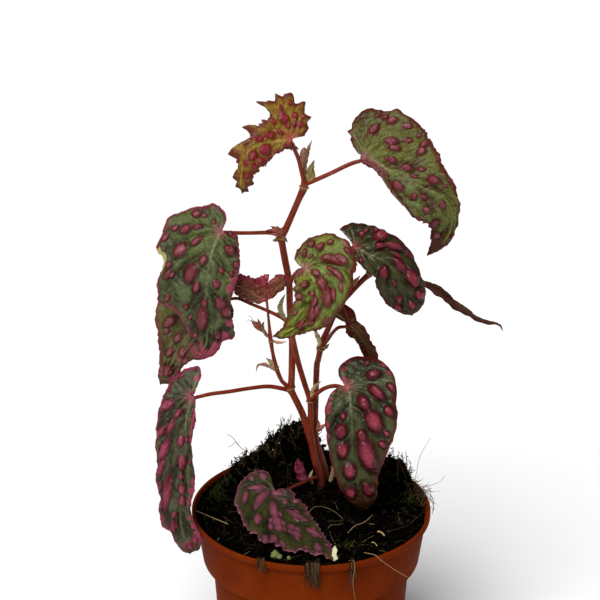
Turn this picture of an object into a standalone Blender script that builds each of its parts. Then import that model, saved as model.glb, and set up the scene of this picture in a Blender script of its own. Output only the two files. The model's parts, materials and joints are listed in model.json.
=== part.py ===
"""Potted begonia: a nursery pot, its soil, two groups of canes and thirteen leaf blades.

Every length in the tables is in millimetres and every angle in degrees. The origin is the centre of
the pot's base, +Z is up and -Y is the side that the plant turns its leaves to.
"""
import math
from types import SimpleNamespace

import bpy
import numpy as np

MM = 0.001
GAP = 0.3

# Pot, as (radius, height) down the outside and up the inside
POT_HEIGHT = 92.0
RIM_RADIUS = 52.5
COLLAR_FOOT = (49.3, 70.5)
BODY_TOP = (45.8, 69.5)
BASE_RADIUS = 37.0
WALL = 1.2
FLOOR = 1.6
POT_SIDES = 48
DRAIN_HOLES = 6
DRAIN_RADIUS = 3.5
DRAIN_RING = 25.0

# Soil
SOIL_LEVEL = 89.0
SOIL_SPOKES = 40
SOIL_RINGS = 10
SOIL_LUMP = 0.55
# Each heap is (x, y, height, reach along x, reach along y), and the second one is the dip at the canes
SOIL_HEAPS = (
    (2.0, 8.0, 9.0, 24.0, 20.0),
    (2.0, 7.0, -4.0, 9.0, 6.0),
    (-6.0, 22.0, 19.0, 18.0, 9.0),
    (36.0, 24.0, 10.0, 12.0, 9.0),
    (-34.0, 24.0, 8.0, 12.0, 9.0),
)

# Blades
BLADE = 0.7
VEINS = 6
FAN = 0.30
FAN_REACH = 0.10
LOBE_REACH = -0.1
VEIN_LEAN = 1.3
VEIN_BOW = 1.25
FULL_ROOM = 7.0
SPINE_STEPS = 240
MARGIN_STEPS = 400

# Colours and roughness
TERRACOTTA = ((0.42, 0.115, 0.05), 0.55)
PEAT = ((0.018, 0.013, 0.010), 0.95)
CANE_RED = ((0.27, 0.045, 0.022), 0.42)
DARK_GREEN = ((0.055, 0.075, 0.04), 0.45)
OLIVE = ((0.12, 0.14, 0.05), 0.45)
LIME = ((0.22, 0.26, 0.05), 0.45)
AMBER = ((0.30, 0.16, 0.03), 0.45)
WINE = ((0.16, 0.03, 0.035), 0.5)


def leaf(**given):
    """A blade's sizes.

    midrib holds points from the stalk to the tip, and face the way that the upper side looks, evenly
    spread along it. left and right are the margin from the sinus to the tip, as (share of the
    midrib's length, distance across). fold is the angle at which a half blade leaves the midrib and
    curl how much it turns in each 10 mm across. teeth is their depth, and spikes are single long
    teeth as (side, place along the margin from 0 to 1, reach). stalk is -1 where the stalk comes to
    the blade from behind, 1 where it comes from the front and 0 where it runs on into the midrib.
    """
    sizes = dict(
        left_fold=(0,), right_fold=(0,), left_curl=(0,), right_curl=(0,), rows=24, columns=4, teeth=0.5,
        spikes=(), quilt=0.8, ruffle=0.0, stalk=-1, colour=DARK_GREEN,
    )
    return SimpleNamespace(**{**sizes, **given})


LEAVES = {
    "leaf_top": leaf(
        midrib=[(-8.5, 1, 257), (-13, -1, 256.8), (-18.5, -4, 256.8), (-23.6, -7, 255.3),
                (-26.8, -9, 251.6), (-28, -9.5, 246.5), (-28.3, -9.2, 241.5), (-28.2, -8, 236.6)],
        face=[(0.1, -0.75, 0.65), (0, -0.75, 0.65), (-0.3, -0.75, 0.6), (-0.5, -0.85, 0.2),
              (-0.3, -0.95, 0)],
        left=[(-0.08, 4.5), (0, 2.6), (0.13, 4), (0.3, 6.6), (0.44, 7.8), (0.58, 7.4), (0.7, 5.6),
              (0.84, 3.4), (0.94, 2)],
        right=[(-0.17, 0.5), (-0.2, 4.5), (-0.2, 9), (-0.16, 12.5), (-0.07, 15.5), (0.06, 14.6),
               (0.16, 10.6), (0.25, 7.8), (0.35, 5), (0.47, 2.6), (0.6, 1.6), (0.75, 1.2), (0.88, 1.4)],
        left_fold=(-30, -20, -10), right_fold=(10, 10, 0), left_curl=(-10,), right_curl=(8,),
        spikes=[(-1, 0.04, 2.2), (-1, 0.12, 2.4), (-1, 0.2, 2.6), (-1, 0.29, 2.6), (-1, 0.37, 2.6),
                (-1, 0.46, 5.5), (-1, 0.58, 3.6), (-1, 0.71, 5.5), (-1, 0.83, 3.4), (-1, 0.92, 2.4)],
        colour=AMBER,
    ),
    "leaf_upper_right": leaf(
        midrib=[(20.3, 4, 248.7), (26.6, 1, 247), (35.4, -3, 242.3), (44.9, -6, 238.5), (52.6, -7, 234.6),
                (56.6, -6, 228.1), (56.3, -4, 219.4), (52.6, -2, 212.7), (47.6, 0, 207.7)],
        face=[(0.1, -0.7, 0.7), (0.1, -0.75, 0.65), (0.3, -0.85, 0.4), (0.3, -0.95, 0)],
        left=[(-0.15, 11), (-0.17, 17), (-0.14, 22), (-0.06, 25.3), (0.07, 26.3), (0.19, 24.8),
              (0.31, 21.2), (0.42, 15.6), (0.52, 9.4), (0.62, 4.6), (0.74, 2.6), (0.88, 1.8)],
        right=[(0.01, 1.8), (0.09, 2.6), (0.16, 3.2), (0.24, 5), (0.32, 8.2), (0.41, 11.2), (0.55, 12.4),
               (0.7, 10.2), (0.83, 7), (0.92, 3.6)],
        right_fold=(-25, -15, 0), rows=28, colour=OLIVE,
    ),
    "leaf_left_big": leaf(
        midrib=[(-37.2, -2, 219.2), (-40, -5, 213.7), (-42, -8, 206.5), (-43, -10, 196.4),
                (-43.2, -10, 186.7), (-43.4, -9, 178.4), (-44.5, -8, 170.5), (-51.5, -6, 163.5)],
        face=[(-0.15, -0.85, 0.5), (-0.1, -0.95, 0.3), (0, -1, 0.1), (0, -1, -0.1)],
        left=[(-0.03, 3.8), (-0.01, 7), (0.08, 10.2), (0.22, 12.4), (0.32, 11.8), (0.45, 10.2),
              (0.57, 9.4), (0.7, 11), (0.76, 11.2), (0.79, 6.6), (0.86, 5), (0.94, 3)],
        right=[(-0.05, 0), (-0.1, 0.8), (-0.14, 3.5), (-0.155, 8), (-0.13, 11), (-0.08, 16.5),
               (-0.01, 21.5), (0.06, 24.4), (0.13, 23.6), (0.2, 24.6), (0.25, 20.6), (0.31, 19.8),
               (0.38, 21.6), (0.47, 21.2), (0.54, 20.6), (0.57, 15), (0.65, 10.6), (0.76, 7.4),
               (0.84, 2.2), (0.93, 0.8)],
        left_fold=(-5,), right_fold=(-10,), rows=28,
    ),
    "leaf_left_mid": leaf(
        midrib=[(-35.3, 6, 187), (-42, 3, 181.8), (-49.2, 1, 174.5), (-55.7, 0, 165.8), (-61, 0, 156.6),
                (-64.8, 1, 149.2)],
        face=[(-0.2, -0.85, 0.5), (-0.1, -0.95, 0.3), (0, -1, 0.1)],
        left=[(0, 1.2), (0.06, 6.4), (0.19, 10), (0.36, 10.6), (0.54, 9), (0.66, 6), (0.74, 4.6),
              (0.85, 5), (0.94, 3.4)],
        right=[(-0.06, 3.6), (-0.02, 8), (0.1, 12.6), (0.26, 17), (0.42, 19), (0.52, 16.6), (0.6, 12),
               (0.7, 8), (0.82, 4.4), (0.93, 2.4)],
    ),
    "leaf_left_low": leaf(
        midrib=[(-50.3, -10, 148.5), (-52.5, -15, 140.5), (-54, -19, 130), (-55, -22, 119),
                (-55, -24, 108), (-55.4, -25.5, 98.5), (-54, -26, 90), (-51.8, -26, 82.4)],
        face=[(-0.3, -0.85, 0.4), (-0.3, -0.95, 0.2), (-0.2, -1, 0.1)],
        left=[(0, 1.4), (0.05, 2), (0.14, 3.6), (0.28, 3.4), (0.44, 5.2), (0.52, 6.2), (0.63, 4.6),
              (0.7, 3.8), (0.77, 5), (0.84, 6.8), (0.94, 6)],
        right=[(-0.14, -1.8), (-0.19, 1), (-0.17, 5), (-0.12, 9), (-0.05, 12), (0.06, 13),
               (0.2, 13.2), (0.35, 12), (0.44, 10.8), (0.53, 11.4), (0.64, 9.4), (0.73, 9.6), (0.8, 8.6),
               (0.85, 5), (0.92, 3.2)],
        rows=28, columns=3,
    ),
    "leaf_center": leaf(
        midrib=[(-3.2, -3, 203.5), (0.4, -6, 200.2), (2.1, -9, 196), (0.8, -11, 190.2),
                (-2.8, -12, 184.9), (-8.2, -11, 179.6), (-16.3, -9, 175.3)],
        face=[(0, -0.75, 0.65), (0.1, -0.9, 0.4), (0, -1, 0.1), (-0.1, -1, 0)],
        left=[(-0.09, -1), (-0.15, 0.2), (-0.21, 5), (-0.22, 10), (-0.18, 15.5), (-0.08, 19.6),
              (0.06, 21), (0.16, 19.4), (0.23, 15.6), (0.31, 13), (0.43, 10), (0.54, 8.8),
              (0.66, 5.4), (0.8, 3.2), (0.92, 2.2)],
        right=[(-0.03, 1.6), (-0.02, 4), (0.04, 6.6), (0.16, 9.4), (0.32, 9), (0.47, 7.8),
               (0.61, 6.8), (0.73, 5.2), (0.86, 2.2)],
        colour=LIME,
    ),
    "leaf_right_dark": leaf(
        midrib=[(17.1, 5, 210), (24.2, 3, 207.1), (31.2, 2, 204), (35, 1, 199.5), (37.2, 1, 194.2),
                (39.1, 2, 187.6), (42.4, 4, 179.6)],
        face=[(0.1, -0.7, 0.7), (0.15, -0.8, 0.55), (0.1, -0.95, 0.3), (0, -1, 0)],
        left=[(-0.2, 5), (-0.15, 9), (-0.08, 11.4), (0.04, 12.8), (0.2, 13.2), (0.32, 12.2),
              (0.45, 10.6), (0.59, 9.6), (0.78, 9.6), (0.9, 7.6), (0.97, 4)],
        right=[(0.09, 4.4), (0.17, 6), (0.26, 7.2), (0.37, 8.4), (0.5, 9.6), (0.66, 9.2), (0.78, 7.6),
               (0.88, 5), (0.95, 2.8)],
    ),
    "leaf_right_tail": leaf(
        midrib=[(47.5, 16, 190.5), (53.5, 17, 185.7), (59.8, 18, 180.3), (65.5, 18, 176.6),
                (70.9, 18, 173.3), (76, 17, 171.9), (81.5, 16, 170.9), (82.8, 15, 168.5)],
        face=[(0, -0.3, 0.95)],
        left=[(0, 1.4), (0.1, 3), (0.25, 4), (0.4, 3.4), (0.55, 2.6), (0.7, 1.6), (0.85, 1)],
        right=[(0, 1.4), (0.1, 3), (0.25, 4), (0.4, 3.4), (0.55, 2.6), (0.7, 1.6), (0.85, 1)],
        left_fold=(25,), right_fold=(25,), rows=16, columns=2, quilt=0.5, stalk=0, colour=WINE,
    ),
    "leaf_fold_mid": leaf(
        midrib=[(15.5, 6, 175.7), (18.7, 6.5, 172.4), (22, 8.5, 167.1), (24.7, 10.5, 161.6),
                (26.1, 12, 156.2), (26.6, 13.5, 149.9)],
        face=[(-0.8, -0.6, 0.1)],
        left=[(-0.12, -3), (-0.3, -3.5), (-0.42, 1), (-0.38, 6), (-0.2, 9), (-0.05, 7), (0.05, 5),
              (0.18, 6.2), (0.35, 5.4), (0.52, 4.8), (0.68, 5), (0.85, 4)],
        right=[(-0.02, 1.5), (0.07, 3.6), (0.2, 7.5), (0.26, 8.2), (0.31, 5.8), (0.47, 5.6),
               (0.65, 7), (0.83, 7), (0.93, 4)],
        rows=16, columns=3, quilt=0.5, stalk=1, colour=WINE,
    ),
    "leaf_low_right": leaf(
        midrib=[(14.6, -4, 150.9), (16.2, -9, 146.7), (17, -14, 137.4), (17.4, -17, 127.2),
                (18.8, -18, 116), (21.4, -17, 105.9), (24, -15, 97.7)],
        face=[(0, -0.8, 0.6), (0, -0.95, 0.3), (0, -1, 0.1), (0, -1, -0.1)],
        left=[(-0.1, -1.8), (-0.16, -0.4), (-0.21, 4), (-0.21, 9), (-0.17, 15), (-0.08, 19.6),
              (0.05, 20.8), (0.16, 19.2), (0.25, 19.4), (0.36, 18), (0.46, 16), (0.58, 13),
              (0.7, 9.6), (0.82, 7.4), (0.93, 5)],
        right=[(-0.01, 1.4), (0, 4.8), (0.03, 7.8), (0.12, 10.2), (0.25, 11.2), (0.43, 10.4),
               (0.6, 9), (0.75, 8), (0.87, 6.2), (0.96, 3)],
        rows=28,
    ),
    "leaf_soil": leaf(
        midrib=[(-15, -6, 101.6), (-15.6, -10, 99.4), (-13.8, -15.5, 97.2), (-10, -22.5, 95.6),
                (-4.4, -30.5, 94.6), (2, -39, 93.6), (8.6, -47, 92.6)],
        face=[(0, -0.25, 0.97)],
        left=[(-0.03, 0.4), (-0.05, 3), (-0.01, 7), (0.12, 10.6), (0.26, 11.6), (0.4, 10.8), (0.53, 9.2),
              (0.73, 6.8), (0.9, 4)],
        right=[(-0.17, 4), (-0.21, 8), (-0.18, 12), (-0.09, 16), (0.04, 17), (0.16, 16.2),
               (0.3, 16), (0.45, 14.8), (0.57, 12), (0.7, 9.6), (0.76, 5), (0.84, 3.4), (0.92, 2.2)],
        quilt=0.5,
    ),
    "leaf_young": leaf(
        midrib=[(-18.8, 4, 187), (-22.5, 4, 188.5), (-28, 4, 192), (-34, 5, 194)],
        face=[(0, -1, 0)],
        left=[(0, 1.6), (0.08, 1.9), (0.2, 2.8), (0.32, 4), (0.55, 3.8), (0.78, 2)],
        right=[(-0.2, 11.2), (-0.2, 13), (-0.1, 12.4), (0.02, 10), (0.1, 8.6),
               (0.19, 11.6), (0.27, 10.4), (0.36, 9), (0.44, 10.2), (0.54, 9.8), (0.64, 9.4), (0.75, 8.6),
               (0.88, 5.6)],
        rows=16, columns=3, quilt=0.4, stalk=1, colour=WINE,
    ),
    "leaf_tiny": leaf(
        midrib=[(-4, 5.5, 100.5), (-5, 5, 103), (-5.4, 4.5, 107), (-5.2, 4, 110)],
        face=[(0, -1, 0.1)],
        left=[(-0.02, 0.6), (0.1, 1.6), (0.46, 2.2), (0.86, 2)],
        right=[(0, 1.2), (0.1, 2.4), (0.4, 3.8), (0.64, 4.2), (0.9, 3.2)],
        rows=10, columns=2, quilt=0.4, teeth=0.4, colour=WINE,
    ),
}

# Canes and stalks as (x, y, z, radius) stations. A stalk's end is the name of the blade it carries.
CANES = {
    "stems_main": [
        # the middle cane out of the soil, through its node to the second leaf on the left
        [(4.4, 9.5, 85, 1.9), (4.4, 9.5, 99.5, 1.9), (1.6, 10, 110, 1.7), (-0.1, 10.3, 120.5, 1.5),
         (-0.3, 10.5, 130, 1.25), (-0.4, 10.5, 136, 1.25), (-0.5, 10.5, 138.5, 1.6),
         (-1.4, 10.3, 141, 1.25), (-3.4, 9, 148, 1.25), (-6, 7, 158.5, 1.25), (-8, 5, 169, 1.2),
         (-9.6, 4.3, 175, 1.2), (-10.4, 4, 177.2, 1.35), (-12.4, 4, 178.8, 0.9),
         (-18.4, 4.5, 181.7, 0.75), (-26, 5.5, 184.7, 0.7), (-31, 7.4, 186.2, 0.7), "leaf_left_mid"],
        # the left cane from its fork, through two nodes to the top leaf
        [(1.2, 10, 113, 1.2), (-1.2, 10, 122, 1.5), (-3.6, 9.8, 131, 1.5), (-7.9, 9, 141.2, 1.5),
         (-9, 9, 143.8, 1.85), (-8.6, 9, 147.5, 1.5), (-8.3, 9.6, 158, 1.5), (-8.3, 10, 167.2, 1.5),
         (-9.2, 10, 180, 1.45), (-9.5, 9.8, 192.3, 1.45), (-11.2, 9, 203, 1.5),
         (-12.4, 8, 210.6, 1.5), (-12.7, 8, 213.6, 1.9), (-10.7, 7.8, 217.2, 1.45),
         (-5.6, 7, 229.5, 1.35), (-3.2, 6.2, 235.6, 1.7), (-3.5, 5.5, 239, 1.0),
         (-4.1, 5, 241.5, 0.9), (-5.5, 4.4, 247.6, 0.85), (-7.6, 3.4, 253, 0.85), "leaf_top"],
        # the thin cane on the left
        [(-8.9, 9, 143.2, 1.0), (-11, 8.4, 146, 0.95), (-13, 8, 148.5, 0.9), (-15.2, 7, 155, 1.05),
         (-16.6, 6.4, 162, 0.8), (-17.4, 6, 168, 0.95), (-18.1, 4.4, 177, 0.6), "leaf_young"],
        # the other stalks
        [(-3.4, 6.2, 235, 1.0), (-2.2, 6, 236.8, 0.95), (0, 5.8, 237.9, 0.95), (7.4, 5.4, 241.4, 0.9),
         (15.5, 5.4, 245.4, 0.9), "leaf_upper_right"],
        [(-12.4, 8, 212.6, 1.0), (-14, 7.6, 214.4, 1.0), (-16, 7, 215.3, 0.95), (-19, 6, 215.9, 0.85),
         (-25.5, 3, 216.7, 0.8), (-30.6, 1.5, 217.2, 0.8), "leaf_left_big"],
        [(-8.6, 9, 142.9, 1.0), (-10.6, 8.6, 143.7, 1.0), (-18.3, 6, 146.3, 0.9), (-26.4, 2.5, 147, 0.85),
         (-35.2, -1.5, 147.2, 0.85), (-43, -5, 147.6, 0.85), "leaf_left_low"],
        [(-9.5, 9.8, 191.4, 0.9), (-8.7, 8.4, 193.2, 0.85), (-8, 7, 196, 0.8), (-5.5, 2.5, 200.5, 0.75),
         "leaf_center"],
        [(-0.5, 10.4, 138.2, 0.95), (0.6, 9, 139.4, 0.95), (3.3, 6.6, 143.5, 0.95), (6.7, 3.5, 147, 0.9),
         (10.5, 0.4, 149, 0.9), "leaf_low_right"],
        [(3.9, 9.3, 99.6, 1.1), (2.6, 7.6, 101.4, 0.9), (1.5, 6, 102.3, 0.8), (-3.6, 2, 102, 0.75),
         (-9.7, -2.5, 101.3, 0.7), "leaf_soil"],
        [(3.9, 9.3, 100.4, 0.9), (0.5, 8.8, 101.2, 0.6), (-2.2, 8.6, 100.9, 0.55), "leaf_tiny"],
    ],
    "stem_right": [
        [(8.4, 14.4, 85, 1.5), (8.2, 14.4, 99, 1.5), (5, 14.4, 111, 1.45), (2.6, 14.8, 119.5, 1.4),
         (2.3, 15, 137.3, 1.35), (2.4, 15, 151.6, 1.35), (3, 15, 155, 1.3), (3.7, 15, 158.6, 1.35),
         (4.1, 15, 161.2, 1.65), (7.2, 14.5, 169.6, 1.25), (11.7, 14, 180, 1.2), (16.8, 13, 187, 1.2),
         (22, 12.5, 193, 1.2), (24.8, 12, 196.1, 1.5), (23.6, 11.4, 198.6, 0.9), (21, 10.6, 201, 0.85),
         (18.6, 9.6, 203.6, 0.8), (17.4, 8.6, 206.8, 0.8), "leaf_right_dark"],
        [(23, 12.3, 194, 0.85), (25.6, 12.4, 196.2, 0.9), (31.2, 14, 196.6, 0.85),
         (39.9, 15.4, 192.8, 0.75), "leaf_right_tail"],
        [(3.9, 15, 160.3, 0.9), (5, 14.4, 162, 0.9), (7, 11, 166, 0.85), (9, 6.6, 171, 0.8),
         (11.4, 3.4, 174.6, 0.75), "leaf_fold_mid"],
    ],
}
# Stipules and buds as the cane they grow from, their half width and their points from base to tip
STIPULES = (
    ("stems_main", 1.6, ((-2.9, 6, 237.5), (-3, 5.2, 243), (-2.3, 5, 248), (-0.2, 5, 254.6))),
    ("stems_main", 1.5, ((-2.4, 5.6, 236.6), (-1.3, 4.4, 240), (-1, 4, 243.5), (-0.4, 4, 247.6))),
    ("stems_main", 1.4, ((-12.8, 7.6, 213.6), (-16, 6.4, 217), (-17.6, 6, 220.6))),
    ("stems_main", 1.2, ((-12.8, 7.4, 214.4), (-14.4, 6, 217.4), (-15.6, 5, 219))),
    ("stems_main", 1.1, ((-0.4, 10, 139.4), (1.8, 8.2, 144.5), (4, 7.6, 148.6))),
    ("stems_main", 1.1, ((-15.2, 6.8, 155.2), (-16.8, 5.9, 160), (-18.6, 5.2, 164.4))),
    ("stems_main", 0.9, ((-15.2, 6.8, 155.4), (-19, 5.2, 159.1), (-22.4, 4.4, 158.4), (-23.7, 4, 154))),
    ("stems_main", 1.0, ((-10.4, 3.6, 177.6), (-12.2, 2.8, 180.4), (-13.9, 2.4, 183.4))),
    ("stems_main", 1.1, ((-9.6, 9, 180), (-10.8, 7.6, 184), (-11.8, 7, 188))),
    ("stems_main", 1.5, ((-17.6, 5.8, 168.8), (-21, 5.2, 172), (-25.4, 5, 177.8))),
    ("stem_right", 1.0, ((3.9, 14.4, 161.6), (2, 12.8, 167), (2.9, 12.2, 171.8))),
    ("stem_right", 1.3, ((15.9, 12.8, 187), (18.2, 11.4, 191.6), (20.6, 11, 195.4))),
    ("stem_right", 1.0, ((2.7, 14.2, 121), (5, 12.4, 123), (7.6, 11.2, 125.4))),
)
STIPULE_THICKNESS = 0.62


def unit(vectors):
    return vectors / np.maximum(np.linalg.norm(vectors, axis=-1, keepdims=True), 1e-9)


def curve_through(points, steps):
    """The Catmull-Rom curve through the given points, with this many steps from one to the next."""
    given = np.asarray(points, float)
    ends = np.vstack([2 * given[0] - given[1], given, 2 * given[-1] - given[-2]])
    t = np.linspace(0, 1, steps, endpoint=False)[:, None]
    runs = []
    for a, b, c, d in zip(ends, ends[1:], ends[2:], ends[3:]):
        bend = (2 * a - 5 * b + 4 * c - d) * t**2 + (3 * b - 3 * c + d - a) * t**3
        runs.append(0.5 * (2 * b + (c - a) * t + bend))
    return np.vstack(runs + [given[-1:]])


def smooth_line(points, count):
    """Evenly spaced points on that curve."""
    fine = curve_through(points, 24)
    far = np.r_[0, np.cumsum(np.linalg.norm(np.diff(fine, axis=0), axis=1))]
    return blend_at(np.linspace(0, far[-1], count), far, fine)


def blend_at(where, known, rows):
    """Each column of rows, known at the places in known, read between them."""
    return np.stack([np.interp(where, known, column) for column in np.asarray(rows, float).T], -1)


class Spine:
    """The midrib of a leaf as a smooth line with the blade's own directions along it."""

    def __init__(self, sizes):
        self.sizes = sizes
        self.middle = smooth_line(sizes.midrib, SPINE_STEPS)
        self.length = np.linalg.norm(np.diff(self.middle, axis=0), axis=1).sum()
        self.share = np.linspace(0, 1, SPINE_STEPS)
        self.along = unit(np.gradient(self.middle, axis=0))
        face = blend_at(self.share, np.linspace(0, 1, len(sizes.face)), sizes.face)
        self.face = unit(face - (face * self.along).sum(1, keepdims=True) * self.along)
        self.across = np.cross(self.face, self.along)

    def angle_at(self, share, name):
        stated = getattr(self.sizes, name)
        return np.radians(np.interp(share, np.linspace(0, 1, len(stated)), stated))

    def place(self, share, across, side):
        """The point at this share of the midrib and this far across; side is 1 left and -1 right."""
        middle, along, face, sideways = (
            blend_at(share, self.share, rows) for rows in (self.middle, self.along, self.face, self.across)
        )
        past = np.minimum(share, 0) + np.maximum(share - 1, 0)
        middle = middle + past[..., None] * self.length * along
        name = "left" if side > 0 else "right"
        fold = self.angle_at(share, name + "_fold")
        turn = self.angle_at(share, name + "_curl") / 10
        turn = np.where(np.abs(turn) < 1e-6, 1e-6, turn)
        out = (np.sin(fold + turn * across) - np.sin(fold)) / turn
        up = (np.cos(fold) - np.cos(fold + turn * across)) / turn
        return middle + side * out[..., None] * unit(sideways) + up[..., None] * unit(face)

    def seat(self, radius):
        """The last two points of a stalk of this radius, which ends clear of the blade by the gap."""
        towards = self.sizes.stalk
        if towards == 0:
            return [tuple(self.middle[0] - self.along[0] * (GAP + more)) for more in (1.9, 0.3)]
        folded = max(0, *(towards * fold[0] for fold in (self.sizes.left_fold, self.sizes.right_fold)))
        clear = BLADE / 2 + GAP + radius * math.tan(math.radians(folded))
        return [tuple(self.middle[0] + towards * self.face[0] * (clear + more)) for more in (1.6, 0)]


def tooth_reach(sizes, side, place):
    """How far the teeth stand out of the smooth margin."""
    count = sizes.rows / 2
    saw = 1 - np.abs(2 * (place * count % 1) - 1)
    reach = sizes.teeth * (saw - 0.3) * np.clip((1 - place) * 12, 0, 1)
    for spiked, where, long in sizes.spikes:
        if spiked == side:
            reach = reach + long * np.clip(1 - np.abs(place - where) * count, 0, 1)
    return reach


def has_lobe(sizes, side):
    """Whether this half of the blade reaches back past the stalk."""
    stated = sizes.left if side > 0 else sizes.right
    return min(share for share, _ in stated) < LOBE_REACH


def margin(sizes, side, length):
    """Places 0 to 1 along one margin, and there the distance along the midrib and across it.

    The first part of the places, up to FAN, lies round the basal lobe, whose veins all leave from
    the stalk. Where there is no lobe, they all lie at the margin's start.
    """
    stated = sizes.left if side > 0 else sizes.right
    line = smooth_line(np.array([*stated, (1, 0)], float) * (length, 1), MARGIN_STEPS)
    far = np.r_[0, np.cumsum(np.linalg.norm(np.diff(line, axis=0), axis=1))]
    lobe = far[np.argmax(line[:, 0] > FAN_REACH * length)] if has_lobe(sizes, side) else 0
    place = np.linspace(0, 1, MARGIN_STEPS)
    wanted = np.interp(place, (0, FAN, 1), (0, lobe, far[-1]))
    line = blend_at(wanted, far, line)
    outward = unit(np.gradient(line, axis=0))[:, ::-1] * (-1, 1)
    return place, line + outward * tooth_reach(sizes, side, place)[:, None]


def vein_room(flat, place):
    """Distance between neighbouring veins over the grid of flat points (along the midrib, across it)."""
    vein = unit(np.gradient(flat, axis=1))
    over = np.gradient(flat, place, axis=0)
    return np.abs(vein[..., 0] * over[..., 1] - vein[..., 1] * over[..., 0]) / VEINS


def relief(sizes, place, share, room):
    """Height of the blade over its smooth surface: quilted between the veins and waved at the edge."""
    between = (1 + np.cos(2 * np.pi * VEINS * place)) / 2
    lumps = 0.65 + 0.35 * np.cos(2 * np.pi * (2.2 * share + 0.37 * np.round(VEINS * place)))
    inside = np.sin(np.pi * np.clip(share, 0, 1) ** 0.8) * np.clip(room / FULL_ROOM, 0, 1)
    wave = np.sin(2 * np.pi * 4.5 * place)
    return sizes.quilt * inside * (between * lumps - 0.3) + sizes.ruffle * wave * share**2


def blade_surface(sizes, rows, columns):
    """Points of the blade's middle surface in a grid from the right margin to the left one."""
    spine = Spine(sizes)
    places = np.linspace(0, 1, rows + 1)
    shares = np.linspace(0, 1, columns + 1)
    foot = np.clip((places - FAN) / (1 - FAN), 0, 1) ** VEIN_LEAN
    halves = {}
    for side in (1, -1):
        edge = blend_at(places, *margin(sizes, side, spine.length))
        grid_place, grid_share = np.meshgrid(places, shares, indexing="ij")
        run = foot[:, None] + (edge[:, :1] / spine.length - foot[:, None]) * grid_share**VEIN_BOW
        across = edge[:, 1:] * grid_share
        room = vein_room(np.stack([run * spine.length, across], -1), places)
        face = unit(blend_at(run, spine.share, spine.face))
        height = relief(sizes, grid_place, grid_share, room)
        halves[side] = spine.place(run, across, side) + height[..., None] * face
    return np.concatenate([halves[-1][:, :0:-1], halves[1]], axis=1)


def blade_faces(sizes, rows, columns):
    """Triangles over that grid, with the rows round the lobes meeting at the stalk, and its border."""
    width = 2 * columns + 1
    fan = int(FAN * rows)

    def index(row, column):
        if column == columns and row <= fan:
            return columns
        if not has_lobe(sizes, 1 if column > columns else -1):
            row = max(row, fan)
        if row == rows:
            return rows * width + columns
        return row * width + column

    triangles = []
    for row in range(rows):
        for column in range(2 * columns):
            a, b = index(row, column), index(row, column + 1)
            c, d = index(row + 1, column + 1), index(row + 1, column)
            split = ((a, b, c), (a, c, d)) if column >= columns else ((a, b, d), (b, c, d))
            triangles += [corners for corners in split if len(set(corners)) == 3]
    left = [index(0, column) for column in range(columns, width)]
    left += [index(row, width - 1) for row in range(1, rows + 1)]
    right = [index(row, 0) for row in range(rows - 1, -1, -1)]
    right += [index(0, column) for column in range(1, columns)]
    return triangles, left + right


def blade_mesh(sizes):
    """A closed blade of even thickness, split into triangles alike on both faces."""
    points = blade_surface(sizes, sizes.rows, sizes.columns).reshape(-1, 3)
    triangles, border = blade_faces(sizes, sizes.rows, sizes.columns)
    corners = np.array(triangles)
    a, b, c = (points[corners[:, k]] for k in range(3))
    normals = np.zeros_like(points)
    for corner in range(3):
        np.add.at(normals, corners[:, corner], np.cross(b - a, c - a))
    normals = unit(normals) * BLADE / 2
    used = sorted(set(corners.reshape(-1).tolist()))
    renamed = {old: new for new, old in enumerate(used)}
    upper = [tuple(renamed[k] for k in triangle) for triangle in triangles]
    under = len(used)
    faces = upper + [(c + under, b + under, a + under) for a, b, c in upper]
    ring = [renamed[k] for k in dict.fromkeys(border)]
    for here, there in zip(ring, ring[1:] + ring[:1]):
        faces += [(there, here, here + under), (there, here + under, there + under)]
    return np.vstack([(points + normals)[used], (points - normals)[used]]), faces


def material_for(name, finish):
    colour, roughness = finish
    material = bpy.data.materials.new(name)
    material.use_nodes = True
    shader = material.node_tree.nodes["Principled BSDF"]
    shader.inputs["Base Color"].default_value = (*colour, 1)
    shader.inputs["Roughness"].default_value = roughness
    shader.inputs["Metallic"].default_value = 0
    return material


def add_object(name, points, faces, finish=None):
    mesh = bpy.data.meshes.new(name)
    mesh.from_pydata((np.asarray(points) * MM).tolist(), [], faces)
    made = bpy.data.objects.new(name, mesh)
    bpy.context.scene.collection.objects.link(made)
    shade_round(made)
    if finish:
        mesh.materials.append(material_for(name, finish))
    return made


def shade_round(made):
    made.data.shade_smooth()
    made.data.set_sharp_from_angle(angle=math.radians(40))


def apply_boolean(target, others, operation):
    """Cuts the other objects from the target or joins them to it, and removes them."""
    helpers = bpy.data.collections.new(target.name + "_helpers")
    bpy.context.scene.collection.children.link(helpers)
    for other in others:
        bpy.context.scene.collection.objects.unlink(other)
        helpers.objects.link(other)
    boolean = target.modifiers.new("join", "BOOLEAN")
    boolean.operation = operation
    boolean.operand_type = "COLLECTION"
    boolean.collection = helpers
    boolean.solver = "MANIFOLD"
    graph = bpy.context.evaluated_depsgraph_get()
    made = bpy.data.meshes.new_from_object(target.evaluated_get(graph))
    target.modifiers.clear()
    target.data = made
    for other in others:
        bpy.data.objects.remove(other)
    bpy.data.collections.remove(helpers)
    shade_round(target)


def ring_faces(first, second, sides):
    """Quads between two rings of points, given by their first indices."""
    return [
        (first + step, first + (step + 1) % sides, second + (step + 1) % sides, second + step)
        for step in range(sides)
    ]


def turned(profile, sides):
    """A closed solid of revolution from (radius, height) rings, with flat discs at both ends."""
    points, faces = [], []
    for radius, height in profile:
        for step in range(sides):
            angle = 2 * math.pi * step / sides
            points.append((radius * math.cos(angle), radius * math.sin(angle), height))
    for ring in range(len(profile) - 1):
        faces += ring_faces(ring * sides, (ring + 1) * sides, sides)
    last = (len(profile) - 1) * sides
    faces.append(tuple(range(sides - 1, -1, -1)))
    faces.append(tuple(range(last, last + sides)))
    return points, faces


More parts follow.
